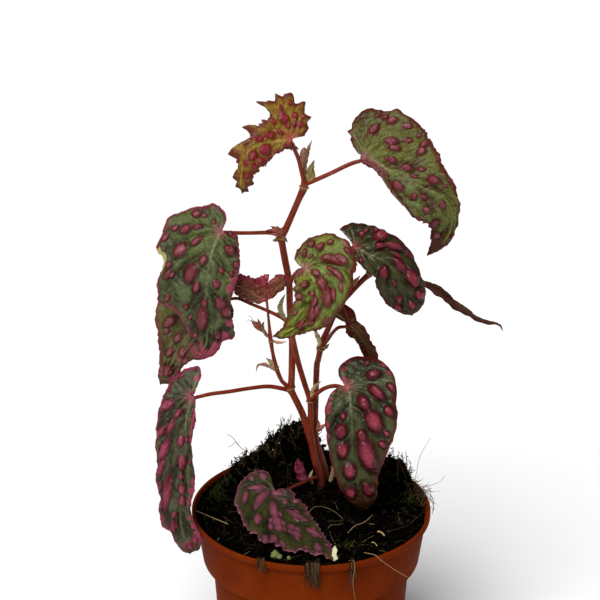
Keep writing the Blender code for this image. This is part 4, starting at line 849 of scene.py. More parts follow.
def blister_field(flat, spots):
    """How deep each point lies in its nearest blister, that blister's paleness, and the height.

    Depth is 1 at a blister's middle, 0 at its foot and less outside. The blisters are long along the
    lines that lead away from the stalk, and each has a groove round its foot.
    """
    depth = np.full(flat.shape[:2], -1.0)
    pale, rise, groove = np.zeros((3, *flat.shape[:2]))
    shaken = flat + 0.25 * np.stack([uneven(flat, 3.4, 3), uneven(flat, 3.0, 7)], -1)
    for along, across, long, wide in spots:
        # How far each point lies from the middle, 1 at the stated size. A blister is narrower ahead.
        lead = unit(np.array((along + 0.3 * abs(across) + 0.5, across)))
        away = shaken - (along, across)
        ahead = away @ lead
        beside = away[..., 0] * lead[1] - away[..., 1] * lead[0]
        reach = np.hypot(ahead / long / 1.08, beside / wide / 1.08 / (0.9 - 0.1 * np.clip(ahead / long, -1, 1)))
        dome = np.clip((1.4 - reach) / 0.9, 0, 1)
        inside = 1 - reach / 1.45
        pale = np.where(inside > depth, 0.5 + 0.5 * math.sin(9.7 * along + 5.3 * across), pale)
        depth = np.maximum(depth, inside)
        rise = np.maximum(rise, (0.3 + 0.5 * min(long, wide)) * dome**2 * (3 - 2 * dome))
        groove = np.maximum(groove, min(0.4, 0.2 * wide) * np.exp(-(((reach - 1.7) / 0.35) ** 2)))
    return depth, pale, rise - groove * (rise < 0.02)


def nearness(flat, places):
    """1 at the middle of each (along, across, reach) place, falling off round it."""
    near = np.zeros(flat.shape[:2])
    for along, across, reach in places:
        near = np.maximum(near, np.exp(-(((flat - (along, across)) / reach) ** 2).sum(-1)))
    return near


def blade_grid(spine, rows, columns):
    """Both halves of the blade as one grid, with what is known of each point before its relief."""
    places = np.linspace(0, 1, rows + 1)
    shares = 1 - (1 - np.linspace(0, 1, columns + 1)) ** 1.2
    foot = np.clip((places - FAN) / (1 - FAN), 0, 1) ** VEIN_LEAN
    parts = {part: {} for part in ("place", "share", "run", "flat", "room", "base", "rim")}
    for side in (1, -1):
        edge = blend_at(places, *margin(spine.sizes, side, spine.length))
        place, share = np.meshgrid(places, shares, indexing="ij")
        run = foot[:, None] + (edge[:, :1] / spine.length - foot[:, None]) * share**VEIN_BOW
        across = edge[:, 1:] * share
        flat = np.stack([run * spine.length, across], -1)
        veined = np.hypot(edge[:, 0] - foot * spine.length, edge[:, 1])
        parts["place"][side], parts["share"][side], parts["run"][side] = place, share, run
        parts["room"][side] = vein_room(flat, places)
        parts["flat"][side] = flat * (1, side)
        parts["rim"][side] = (1 - share) * veined[:, None]
        parts["base"][side] = spine.place(run, across, side)
    return SimpleNamespace(**{part: both(halves) for part, halves in parts.items()})


def blade_surface(name, spine, rows, columns):
    """Points of the blade's middle surface, its thickness and, at each, the marks its material reads."""
    sizes, grid = spine.sizes, blade_grid(spine, rows, columns)
    depth, pale, rise = blister_field(grid.flat, (*SPOTS.get(name, ()), *small_spots(name, sizes, grid)))
    # The midrib, the side veins and the smaller ones between them, fading away from the stalk
    across = np.abs(grid.flat[..., 1])
    lateral = np.abs(VEINS * grid.place % 1 - 0.5) * grid.room
    second = np.abs((2 * VEINS * grid.place + 0.5) % 1 - 0.5) * grid.room / 2
    rib = np.exp(-((across / (0.55 - 0.3 * np.clip(grid.run, 0, 1))) ** 2))
    vein = np.maximum(rib, np.exp(-((lateral / 0.32) ** 2)) * np.clip(1.15 - grid.share, 0, 1))
    vein = np.maximum(vein, 0.55 * np.exp(-((second / 0.28) ** 2)) * np.clip(2 * grid.share, 0, 1))
    away = np.linalg.norm(grid.flat, axis=-1)
    vein = vein * np.clip(across + grid.room, 0, 1) * (0.22 + 0.78 * np.exp(-((away / 14) ** 2)))
    streaks = uneven(np.stack([16 * grid.share, 8 * VEINS * grid.place], -1), 6, 4)
    swell = relief(sizes, grid) + sizes.streaked * streaks * np.clip(grid.room / 4, 0, 1)
    height = swell + sizes.blistered * rise * np.clip(grid.rim / 1.5, 0, 1) - 0.3 * vein * (1 - depth.clip(0, 1))
    face = unit(blend_at(grid.run, spine.share, spine.face))
    marks = dict(
        spot=np.clip((depth + 0.5) / 1.5, 0, 1),
        pale=pale,
        vein=vein,
        rim=np.clip(grid.rim / RIM_REACH, 0, 1),
        tip=np.clip(grid.run, 0, 1),
        attach=np.exp(-((grid.flat / 2.6) ** 2).sum(-1)),
        # The relief's height, which the material paints as shade in the hollows and as light on the heights
        swell=np.clip(0.5 + 0.5 * swell, 0, 1),
        warm=nearness(grid.flat, PATCHES.get(name, ())),
        blush=nearness(grid.flat, BLUSHES.get(name, ())),
        cream=nearness(grid.flat, CREAMS.get(name, ())),
    )
    thick = THICKNESS * (0.45 + 0.55 * np.clip(grid.rim / 1.2, 0, 1)) * (1 + 0.8 * rib)
    return grid.base + height[..., None] * face, thick, marks


def blade_faces(sizes, rows, columns):
    """Triangles over that grid, with the rows round the lobes meeting at the stalk, and its border."""
    width = 2 * columns + 1
    fan = int(FAN * rows)

    def index(row, column):
        if column == columns and row <= fan:
            return columns
        if not has_lobe(sizes, 1 if column > columns else -1):
            row = max(row, fan)
        if row == rows:
            return rows * width + columns
        return row * width + column

    triangles = []
    for row in range(rows):
        for column in range(2 * columns):
            a, b = index(row, column), index(row, column + 1)
            c, d = index(row + 1, column + 1), index(row + 1, column)
            split = ((a, b, c), (a, c, d)) if column >= columns else ((a, b, d), (b, c, d))
            triangles += [corners for corners in split if len(set(corners)) == 3]
    left = [index(0, column) for column in range(columns, width)]
    left += [index(row, width - 1) for row in range(1, rows + 1)]
    right = [index(row, 0) for row in range(rows - 1, -1, -1)]
    right += [index(0, column) for column in range(1, columns)]
    return triangles, left + right


def blade_mesh(name, spine):
    """A closed blade in the same outline as its solid, and its marks point by point."""
    sizes = spine.sizes
    margins = [bare_margin(sizes, side, spine.length, ROUGH_MARGIN_STEPS) for side in (1, -1)]
    rows = max(LEAST_ROWS, int(ROWS_PER_MM * max(step_lengths(line).sum() for line in margins)))
    widest = max(across for _, across in (*sizes.left, *sizes.right))
    columns = max(LEAST_COLUMNS, int(COLUMNS_PER_MM * widest))
    points, thick, marks = blade_surface(name, spine, rows, columns)
    points = points.reshape(-1, 3)
    triangles, border = blade_faces(sizes, rows, columns)
    corners = np.array(triangles)
    a, b, c = (points[corners[:, k]] for k in range(3))
    normals = np.zeros_like(points)
    for corner in range(3):
        np.add.at(normals, corners[:, corner], np.cross(b - a, c - a))
    normals = unit(normals) * thick.reshape(-1, 1) / 2
    # The upper side, the same points again below it, and a wall round the border
    used = np.unique(corners)
    down = len(used)
    renamed = np.zeros(len(points), int)
    renamed[used] = np.arange(down)
    upper = renamed[corners]
    lower = upper[:, ::-1] + down
    here = renamed[np.array(list(dict.fromkeys(border)))]
    there = np.roll(here, -1)
    wall = [np.stack([there, here, here + down], -1), np.stack([there, here + down, there + down], -1)]
    marks = {mark: np.tile(values.reshape(-1)[used], 2) for mark, values in marks.items()}
    marks["under"] = np.repeat([1.0, 0.0], down)
    closed = np.vstack([(points + normals)[used], (points - normals)[used]])
    return closed, np.vstack([upper, lower, *wall]).tolist(), marks


# Meshes


def new_object(name, points, faces):
    """An object of these points, in metres, that stands in no collection yet."""
    mesh = bpy.data.meshes.new(name)
    mesh.from_pydata(points, [], faces)
    return bpy.data.objects.new(name, mesh)


def add_piece(name, points, faces, material, marks=None, nodes=(), sharp=40):
    """Makes a smooth-shaded piece of the object from points in millimetres.

    marks hold a value for each point, nodes are the solids that the piece replaces, and sharp is
    the angle from which an edge shows.
    """
    piece = new_object(name, (np.asarray(points) * MM).tolist(), faces)
    mesh = piece.data
    for mark, values in (marks or {}).items():
        values = np.asarray(values, float)
        kind, field = ("FLOAT_VECTOR", "vector") if values.ndim == 2 else ("FLOAT", "value")
        mesh.attributes.new(mark, kind, "POINT").data.foreach_set(field, values.reshape(-1))
    mesh.shade_smooth()
    mesh.set_sharp_from_angle(angle=math.radians(sharp))
    mesh.materials.append(material)
    bpy.context.scene.collection.objects.link(piece)
    if nodes:
        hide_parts(*nodes)
    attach(piece, "root")
    return piece


def angles_round(sides):
    return [2 * math.pi * step / sides for step in range(sides)]


def ring_faces(first, second, sides):
    """Quads between two rings of points, given by their first indices."""
    return [
        (first + step, first + (step + 1) % sides, second + (step + 1) % sides, second + step)
        for step in range(sides)
    ]


def closed_faces(rings, sides):
    """Faces of a closed shape over a stack of rings, with a flat face at both ends."""
    faces = [face for ring in range(rings - 1) for face in ring_faces(ring * sides, (ring + 1) * sides, sides)]
    last = (rings - 1) * sides
    return [*faces, tuple(range(sides - 1, -1, -1)), tuple(range(last, last + sides))]


def turned(profile, sides):
    """A closed solid of revolution from (radius, height) rings, with flat discs at both ends."""
    points = [
        (radius * math.cos(angle), radius * math.sin(angle), height)
        for radius, height in profile for angle in angles_round(sides)
    ]
    return points, closed_faces(len(profile), sides)


def tube(stations, sides, steps):
    """A closed tube through (x, y, z, radius) stations, and its grain: round it and along it."""
    line = curve_through(stations, steps)
    along = unit(np.gradient(line[:, :3], axis=0))
    points, grain = [], []
    for (x, y, z, radius), ahead, run in zip(line, along, run_along(line[:, :3])):
        first = unit(np.cross(ahead, ASIDE))
        second = np.cross(ahead, first)
        for angle in angles_round(sides):
            points.append((x, y, z) + radius * math.cos(angle) * first + radius * math.sin(angle) * second)
            grain.append((math.cos(angle), math.sin(angle), run))
    return np.array(points), closed_faces(len(line), sides), np.array(grain)


class Gathered:
    """Many small shapes gathered into one mesh, each point with its tone and grain."""

    def __init__(self):
        self.points, self.faces, self.tones, self.grain, self.count = [], [], [], [], 0

    def add(self, points, faces, tone, grain=None):
        self.points.append(np.asarray(points, float))
        self.faces += [tuple(corner + self.count for corner in face) for face in faces]
        self.tones.append(np.broadcast_to(tone, len(points)))
        self.grain.append(np.zeros((len(points), 3)) if grain is None else grain)
        self.count += len(points)

    def add_strand(self, stations, sides, steps, tone):
        """Adds a tube through these stations."""
        points, faces, _ = tube(stations, sides, steps)
        self.add(points, faces, tone)

    def finish(self, name, material, nodes=(), sharp=40):
        marks = {"tone": np.concatenate(self.tones), "grain": np.vstack(self.grain)}
        add_piece(name, np.vstack(self.points), self.faces, material, marks, nodes, sharp)


# Materials


def rgb(code):
    """Linear colour of a #rrggbb code."""
    parts = [int(code[k : k + 2], 16) / 255 for k in (1, 3, 5)]
    return tuple(part / 12.92 if part <= 0.04045 else ((part + 0.055) / 1.055) ** 2.4 for part in parts)


class Painter:
    """Builds a material's nodes. Lengths in its calls are in millimetres."""

    def __init__(self, name, roughness, **settings):
        self.material = bpy.data.materials.new(name)
        self.material.use_nodes = True
        self.tree = self.material.node_tree
        self.shader = self.tree.nodes["Principled BSDF"]
        self.shader.inputs["Roughness"].default_value = roughness
        for socket, value in settings.items():
            self.shader.inputs[socket.replace("_", " ")].default_value = value
        self.place = self.node("ShaderNodeTexCoord").outputs["Object"]

    def node(self, kind, inputs=None, **settings):
        made = self.tree.nodes.new(kind)
        for setting, value in settings.items():
            setattr(made, setting, value)
        for socket, value in (inputs or {}).items():
            if isinstance(value, bpy.types.NodeSocket):
                self.tree.links.new(value, made.inputs[socket])
            else:
                made.inputs[socket].default_value = value
        return made

    def link(self, output, socket):
        self.tree.links.new(output, self.shader.inputs[socket])

    def mark(self, name, output="Fac"):
        return self.node("ShaderNodeAttribute", attribute_type="GEOMETRY", attribute_name=name).outputs[output]

    def noise(self, size, detail):
        """Noise from 0 to 1 whose patches are about this size."""
        inputs = {"Vector": self.place, "Scale": 1 / (size * MM), "Detail": detail, "Roughness": 0.55}
        return self.node("ShaderNodeTexNoise", inputs).outputs["Fac"]

    def streaks(self, where, stretch, scale, detail):
        """Noise from 0 to 1 that is drawn out along the way where stretch is small."""
        stretched = self.node("ShaderNodeMapping", {"Vector": where, "Scale": stretch}).outputs[0]
        inputs = {"Vector": stretched, "Scale": scale, "Detail": detail}
        return self.node("ShaderNodeTexNoise", inputs).outputs["Fac"]

    def cells(self, size, feature="DISTANCE_TO_EDGE"):
        inputs = {"Vector": self.place, "Scale": 1 / (size * MM)}
        return self.node("ShaderNodeTexVoronoi", inputs, feature=feature).outputs["Distance"]

    def step(self, value, low, high):
        """Smoothly 0 at low and 1 at high."""
        inputs = {"Value": value, "From Min": low, "From Max": high}
        return self.node("ShaderNodeMapRange", inputs, interpolation_type="SMOOTHSTEP").outputs["Result"]

    def math(self, operation, first, second, third=0.0):
        return self.node("ShaderNodeMath", {0: first, 1: second, 2: third}, operation=operation).outputs[0]

    def plus(self, first, second):
        return self.math("ADD", first, second)

    def times(self, first, second):
        return self.math("MULTIPLY", first, second)

    def mix(self, amount, first, second):
        """A colour that goes from first to second, each given as a colour, its code or a socket."""
        made = self.node("ShaderNodeMix", data_type="RGBA")
        for index, value in ((0, amount), (6, first), (7, second)):
            value = rgb(value) if isinstance(value, str) else value
            if isinstance(value, bpy.types.NodeSocket):
                self.tree.links.new(value, made.inputs[index])
            else:
                made.inputs[index].default_value = value if index == 0 else (*value, 1)
        return made.outputs[2]

    def coat(self, ground, *layers):
        """Paints the ground colour with (mask, colour, strength) layers, each over those before it."""
        for mask, colour, strength in layers:
            ground = self.mix(mask if strength == 1 else self.times(mask, strength), ground, colour)
        self.link(ground, "Base Color")

    def bump(self, *layers):
        """Raises the surface by (height socket, millimetres) layers."""
        normal = None
        for height, reach in layers:
            inputs = {"Height": height, "Distance": reach * MM, "Strength": 1.0}
            if normal:
                inputs["Normal"] = normal
            normal = self.node("ShaderNodeBump", inputs).outputs["Normal"]
        self.link(normal, "Normal")


# By how much the colours of the leaves are darkened
LEAF_SHADE = 0.76
# The crescents that CREAMS puts on a margin
CREAM = "#b0a468"


def shaded(code):
    return tuple(LEAF_SHADE * part for part in rgb(code))


def look(dark, light, vein, rim, top, edge, warm="#645c2e", tip="#4a2a14", under="#6e3a30", width=1.1, gloss=0.0,
         browned=0.93, sheen=0.22):
    """How a leaf looks.

    Its colours are those of the hollows and the heights, the veins, a blister's foot and top, the
    margin, the warm patches, the tip and the underside. The colours of the hollows and the heights
    are painted shade and painted light: the hollows of the relief stay dark and its heights are
    painted light, and the dark colour is also painted as shade round each blister's foot and in the
    creases of the fine cells. width is that of the coloured margin, gloss goes from 0 for a dull leaf
    to 1 for a smooth one, browned is the share of the midrib at which the tip's colour starts, and
    sheen the strength of the reflection.
    """
    codes = dict(dark=dark, light=light, vein=vein, rim=rim, top=top, edge=edge, warm=warm, tip=tip, under=under)
    shades = {part: shaded(code) for part, code in codes.items()}
    return SimpleNamespace(width=width, gloss=gloss, browned=browned, sheen=sheen, **shades)


LOOKS = {
    "leaf_top": look("#6a3408", "#94701c", "#bca44c", "#6a1408", "#b0384a", "#642212", warm="#9a7c26", width=2.8),
    "leaf_upper_right": look(
        "#40280a", "#606830", "#9a9860", "#5e0e14", "#96545e", "#5e1810", warm="#6c6e26", tip="#4c1c10", width=2.6,
        browned=0.84,
    ),
    "leaf_left_big": look("#282408", "#546038", "#868c66", "#541218", "#a4505e", "#942446", warm="#606a28"),
    "leaf_left_mid": look("#3c2c12", "#6a643c", "#888054", "#561618", "#9c5c5e", "#74242a", warm="#6a6a2c"),
    "leaf_left_low": look("#24200c", "#4e5034", "#74764e", "#5e162a", "#aa485e", "#902a48", warm="#4c4a24", width=1.4),
    "leaf_center": look("#42400c", "#6e7e34", "#a8b25a", "#5e1812", "#a2585e", "#601a10", warm="#86881c", width=1.5),
    "leaf_right_dark": look(
        "#1a1a06", "#3c3c18", "#6c6a48", "#480c16", "#963644", "#561412", warm="#444216", gloss=1.0, sheen=0.2,
    ),
    "leaf_right_tail": look("#3a1c14", "#604030", "#785444", "#44181a", "#684040", "#4c1e18", gloss=0.4, sheen=0.03),
    "leaf_fold_mid": look(
        "#341a0c", "#5c4426", "#a47c68", "#4a1616", "#6c3430", "#641620", warm="#700c1a", under="#5c2c20", width=0.7,
        gloss=1.0, sheen=0.0,
    ),
    "leaf_low_right": look(
        "#1c1a08", "#4c5032", "#747650", "#420a14", "#a84454", "#6c1a24", warm="#4a401c", tip="#3a1c0c", gloss=1.0,
        browned=0.8, sheen=0.14,
    ),
    "leaf_soil": look(
        "#1c1e08", "#3e401e", "#1c2008", "#5c2c3a", "#8c4c5a", "#844a58", warm="#40441a", width=0.8, gloss=0.7,
        sheen=0.1,
    ),
    "leaf_young": look(
        "#5c1810", "#984434", "#b48060", "#6c141c", "#a84450", "#902038", warm="#6c5230", tip="#8c4c30",
        under="#5e3222",
    ),
    "leaf_tiny": look("#5c1028", "#9c3050", "#cc7c94", "#500e20", "#c06484", "#84203c", under="#6a1c30"),
}


def leaf_material(name, colours):
    """A blade's skin. The marks of the mesh say where each colour lies, and noise shakes their borders."""
    paint = Painter(name, 0.4, Specular_IOR_Level=colours.sheen)
    broad, fine, grain = paint.noise(8, 3), paint.noise(1.4, 3), paint.noise(0.45, 2)
    cells, pimples = paint.cells(1.4), paint.cells(2.2, "F1")
    rim, vein, swell = paint.mark("rim"), paint.mark("vein"), paint.mark("swell")
    shaken = paint.times(paint.math("SUBTRACT", fine, 0.5), 0.3)
    # Painted shade and light: darker in the relief's hollows and lighter on its heights, with broad noise mixed in as
    # uneven tone
    height_shade_and_tone = paint.plus(paint.times(swell, 0.85), paint.times(broad, 0.5))
    freckle = paint.times(paint.step(pimples, 0.32, 0.1), paint.step(paint.noise(6, 1), 0.48, 0.6))
    bronze = paint.step(paint.plus(rim, paint.times(broad, 0.9)), 0.95, 0.4)
    blush = paint.step(paint.plus(paint.mark("blush"), shaken), 0.3, 0.6)
    far = colours.width / RIM_REACH
    edging = paint.step(paint.plus(rim, paint.times(shaken, 0.7)), far, far * 0.2)
    crescent = paint.times(paint.step(paint.mark("cream"), 0.3, 0.45), paint.step(rim, 0.3, 0.2))
    towards_tip = paint.plus(paint.mark("tip"), paint.times(fine, 0.06))
    spot = paint.plus(paint.mark("spot"), paint.times(shaken, 0.7))
    ring, top = paint.step(spot, 0.33, 0.54), paint.step(spot, 0.48, 0.92)
    paleness = paint.math("MULTIPLY_ADD", paint.mark("pale"), 0.5, 0.5)
    mottle = paint.times(paint.math("POWER", top, 0.7), paint.step(grain, 0.2, 0.62))
    paint.coat(
        colours.dark,
        # Painted light on the heights of the relief, over the painted shade of the hollows
        (paint.step(height_shade_and_tone, 0.46, 0.88), colours.light, 1),
        (paint.mark("warm"), colours.warm, 0.7),
        # Painted shade in the creases between the fine cells that the bump raises
        (paint.step(cells, 0.14, 0.0), colours.dark, 0.3 - 0.2 * colours.gloss),
        (paint.step(grain, 0.58, 0.74), colours.vein, 0.35),
        (paint.times(vein, paint.step(fine, 0.15, 0.5)), colours.vein, 1),
        (freckle, colours.rim, 0.6),
        (paint.mark("attach"), colours.top, 0.85),
        (bronze, paint.mix(0.35, colours.edge, colours.dark), 0.55),
        (blush, paint.mix(grain, colours.edge, colours.top), 0.9),
        (edging, colours.edge, 0.95),
        (crescent, shaded(CREAM), 1),
        (paint.step(towards_tip, colours.browned, colours.browned + 0.08), colours.tip, 1),
        # Painted shade round the foot of each blister
        (paint.step(spot, 0.08, 0.36), colours.dark, 0.6),
        (ring, colours.rim, 1),
        (paint.times(mottle, paleness), colours.top, 1),
        (paint.mark("under"), colours.under, 0.8),
    )
    rough = {"Value": ring, "To Min": 0.42 - 0.08 * colours.gloss, "To Max": 0.32 - 0.1 * colours.gloss}
    paint.link(paint.node("ShaderNodeMapRange", rough).outputs[0], "Roughness")
    dull = 1 - 0.85 * colours.gloss
    paint.bump((cells, 0.22 * dull), (pimples, -0.18 * dull), (grain, 0.12 * dull))
    return paint.material


def cane_material():
    """Brick-red stalks, streaked along their length, browner at the nodes and dark near the soil."""
    paint = Painter("cane", 0.36, Specular_IOR_Level=0.14)
    lines = paint.streaks(paint.mark("grain", "Vector"), (1.6, 1.6, 0.07), 2.4, 4.0)
    broad, fine = paint.noise(7, 2), paint.noise(0.7, 2)
    height = paint.node("ShaderNodeSeparateXYZ", {0: paint.place}).outputs["Z"]
    paint.coat(
        "#5c1806",
        (paint.step(lines, 0.35, 0.7), "#862e12", 1),
        (paint.step(broad, 0.45, 0.7), "#8e4028", 0.4),
        (paint.step(paint.mark("tone"), 0.3, 1.0), "#80502e", 0.7),
        (paint.step(paint.cells(1.5, "F1"), 0.22, 0.12), "#a87858", 0.3),
        (paint.step(paint.plus(height, paint.times(broad, 12 * MM)), 128 * MM, 104 * MM), "#36120e", 0.75),
    )
    paint.bump((lines, 0.12), (fine, 0.06))
    return paint.material


def stipule_material():
    """Papery scales and buds, each in its own colour, with fine veins and brown specks."""
    paint = Painter("stipule", 0.45, Specular_IOR_Level=0.25)
    fine, specks = paint.noise(0.5, 3), paint.noise(1.2, 2)
    paint.coat(
        paint.mark("grain", "Vector"),
        (paint.step(fine, 0.4, 0.75), "#c8a880", 0.35),
        (paint.step(specks, 0.55, 0.7), "#4c2014", 0.7),
    )
    paint.bump((fine, 0.15))
    return paint.material


def peat_material():
    """Nearly black peat, whose palest crumbs are brown."""
    paint = Painter("peat", 0.9, Specular_IOR_Level=0.01)
    fine, broad = paint.noise(0.8, 4), paint.noise(6, 3)
    paint.coat(
        "#000000",
        (paint.step(fine, 0.35, 0.75), "#060503", 1),
        (paint.step(broad, 0.5, 0.75), "#0e0b06", 0.4),
        (paint.step(paint.mark("tone"), 0.7, 1.0), "#221d13", 1),
    )
    paint.bump((fine, 0.5), (paint.cells(1.3, "F1"), 0.4))
    return paint.material


def fibre_material():
    """Peat fibres, straw and dry roots, from dark brown to pale straw by their tone."""
    paint = Painter("fibre", 0.75, Specular_IOR_Level=0.06)
    fine, tone = paint.noise(0.7, 3), paint.mark("tone")
    paint.coat(
        "#080604",
        (paint.step(tone, 0.0, 0.5), "#4c3a24", 1),
        (paint.step(tone, 0.5, 0.95), "#b49a6c", 1),
        (paint.step(fine, 0.5, 0.7), "#3a2a18", 0.4),
        (paint.step(tone, 0.95, 1.0), "#dcd4b0", 1),
    )
    paint.bump((fine, 0.12))
    return paint.material


def moss_material():
    """Olive moss, whose cushions are paler."""
    paint = Painter("moss", 0.8, Specular_IOR_Level=0.1)
    fine, tone = paint.noise(0.9, 3), paint.mark("tone")
    paint.coat(
        "#182208",
        (paint.step(tone, 0.0, 0.8), "#48561c", 1),
        (paint.step(tone, 0.85, 1.0), "#6c7644", 1),
        (paint.step(fine, 0.5, 0.7), "#2c2c10", 0.4),
    )
    paint.bump((fine, 0.15))
    return paint.material


def pot_material():
    """Matte moulded plastic with fine upright scratches and dark smudges."""
    paint = Painter("terracotta_plastic", 0.55, Specular_IOR_Level=0.008)
    broad, fine = paint.noise(18, 3), paint.noise(0.35, 2)
    scratch = paint.streaks(paint.place, (900, 900, 60), 1.0, 3.0)
    paint.coat(
        "#602004",
        (paint.step(broad, 0.35, 0.7), "#6e2806", 1),
        (paint.step(scratch, 0.62, 0.78), "#a06244", 0.12),
        (paint.step(paint.noise(3, 4), 0.62, 0.8), "#3a1a0e", 0.35),
    )
    paint.bump((fine, 0.03), (scratch, 0.02))
    return paint.material


# Pot


def cut_drains(pot):
    """Cuts the drain holes through the pot's floor."""
    cutters = bpy.data.collections.new("cutters")
    for angle in angles_round(DRAIN_HOLES):
        x, y = DRAIN_RING * math.cos(angle), DRAIN_RING * math.sin(angle)
        points, faces, _ = tube([(x, y, -2, DRAIN_RADIUS), (x, y, FLOOR + 2, DRAIN_RADIUS)], DRAIN_SIDES, 1)
        cutters.objects.link(new_object("cutter", (points * MM).tolist(), faces))
    bpy.context.scene.collection.children.link(cutters)
    boolean = pot.modifiers.new("drains", "BOOLEAN")
    boolean.operation, boolean.operand_type, boolean.solver = "DIFFERENCE", "COLLECTION", "MANIFOLD"
    boolean.collection = cutters
    drained = bpy.data.meshes.new_from_object(pot.evaluated_get(bpy.context.evaluated_depsgraph_get()))
    pot.modifiers.clear()
    pot.data = drained
    for cutter in list(cutters.objects):
        bpy.data.objects.remove(cutter)
    bpy.data.collections.remove(cutters)


def build_pot(material):
    """The pot as one closed wall: up its outside, over the lip and down its inside."""
    foot_radius, foot_height = COLLAR_FOOT
    top_radius, top_height = BODY_TOP
    lip = [(RIM_RADIUS - 0.45 + 0.45 * math.cos(a), POT_HEIGHT - 0.5 + 0.5 * math.sin(a)) for a in (0, 0.5, 1.0)]
    outside = [
        (BASE_RADIUS - 1.2, 0), (BASE_RADIUS - 0.35, 0.3), (BASE_RADIUS, 1.2), (top_radius - 1.7, 42),
        (top_radius, top_height), (foot_radius - 0.7, foot_height - 0.5), (foot_radius - 0.2, foot_height - 0.3),
        (foot_radius, foot_height + 0.3), (RIM_RADIUS - LIP_REACH, POT_HEIGHT - LIP_TALL - 0.5),
        (RIM_RADIUS - 0.6, POT_HEIGHT - LIP_TALL + 0.3), (RIM_RADIUS - 0.1, POT_HEIGHT - LIP_TALL + 1), *lip,
        (RIM_RADIUS - 0.6, POT_HEIGHT),
    ]
    inside = [(RIM_RADIUS - WALL, POT_HEIGHT - 0.2), *reversed(POT_INSIDE)]
    points, faces = turned(outside + inside, POT_SIDES)
    cut_drains(add_piece("pot_shell", points, faces, material, nodes=("pot",), sharp=35))


# Soil


def inner_radius(height):
    radii, heights = zip(*POT_INSIDE)
    return float(np.interp(height, heights, radii))


SOIL_EDGE = inner_radius(SOIL_LEVEL)


def soil_height(x, y):
    """Height of the soil: its level, its heaps and its lumps, coming down to the level at the wall."""
    height = sum(
        tall * np.exp(-(((x - middle_x) / reach_x) ** 2) - ((y - middle_y) / reach_y) ** 2)
        for middle_x, middle_y, tall, reach_x, reach_y in SOIL_HEAPS
    )
    lumps = np.sin(0.9 * x + 1.3 * np.sin(0.31 * y)) + np.cos(0.8 * y - 1.1 * np.sin(0.37 * x + 1))
    height = height + SOIL_LUMP * (lumps + np.sin(0.47 * (x - y) + 2))
    fine = np.sin(2.3 * x + 1.7 * np.sin(1.1 * y)) * np.cos(2.6 * y + 1.9 * np.sin(0.9 * x))
    finer = np.sin(5.1 * x + 2.2 * np.sin(3.1 * y + 1)) * np.cos(4.7 * y + 2.1 * np.sin(3.7 * x))
    height = height + 0.55 * fine + 0.35 * finer
    return SOIL_LEVEL + height * np.clip((SOIL_EDGE - np.hypot(x, y)) / 9, 0.12, 1)


def build_soil(material):
    """The peat bed, a closed body that fills the pot with a little room to its wall."""
    step = BODY_TOP[1] + WALL
    profile = [(inner_radius(FLOOR) - SOIL_CLEAR, FLOOR + 0.3), (inner_radius(step) - SOIL_CLEAR, step + 0.5)]
    profile += [(inner_radius(height) - SOIL_CLEAR, height) for height in (step + 1.6, SOIL_LEVEL - 3)]
    top = len(profile) * SOIL_SPOKES
    edge = SOIL_EDGE - 0.35
    profile += [(edge * (1 - ring / (SOIL_RINGS + 0.6)), SOIL_LEVEL) for ring in range(SOIL_RINGS + 1)]
    points, faces = turned(profile, SOIL_SPOKES)
    points = np.array(points)
    points[top:, 2] = soil_height(points[top:, 0], points[top:, 1])
    tones = np.random.default_rng(SOIL_SEED).uniform(0, 0.75, len(points))
    add_piece("peat_bed", points, faces, material, {"tone": tones}, ("soil",), sharp=60)


# A lump is a ball of twenty triangles, whose corners are shaken when it is made
GOLDEN = 1.618
LUMP_CORNERS = unit(np.array([
    (0, 1, GOLDEN), (0, -1, GOLDEN), (0, 1, -GOLDEN), (0, -1, -GOLDEN), (1, GOLDEN, 0), (-1, GOLDEN, 0),
    (1, -GOLDEN, 0), (-1, -GOLDEN, 0), (GOLDEN, 0, 1), (-GOLDEN, 0, 1), (GOLDEN, 0, -1), (-GOLDEN, 0, -1),
]))
LUMP_FACES = (
    (0, 1, 8), (0, 9, 1), (0, 8, 4), (0, 4, 5), (0, 5, 9), (3, 10, 2), (3, 2, 11), (3, 11, 7), (3, 7, 6), (3, 6, 10),
    (1, 6, 8), (8, 6, 10), (8, 10, 4), (4, 10, 2), (4, 2, 5), (5, 2, 11), (5, 11, 9), (9, 11, 7), (9, 7, 1), (1, 7, 6),
)


def rough_lump(rng, rough=LUMP_ROUGH):
    return LUMP_CORNERS * rng.uniform(*rough, (len(LUMP_CORNERS), 1))


def on_soil(rng, count):
    """Seeded places over the soil, more of them on the heap behind the canes."""
    edge = SOIL_EDGE - 1.2
    angle = rng.uniform(0, 2 * math.pi, count)
    radius = edge * np.sqrt(rng.uniform(0, 1, count))
    x, y = radius * np.cos(angle), radius * np.sin(angle)
    heaped = rng.uniform(0, 1, count) < HEAPED
    x = np.where(heaped, rng.normal(HEAP_MIDDLE[0], HEAP_SPREAD[0], count), x)
    y = np.where(heaped, rng.normal(HEAP_MIDDLE[1], HEAP_SPREAD[1], count), y)
    inside = np.hypot(x, y) < edge
    return x[inside], y[inside]


def ridge_top(ridge, rng):
    """A seeded place along the top of a ridge."""
    return blend_at(rng.uniform(0, 1), np.linspace(0, 1, len(ridge)), ridge)


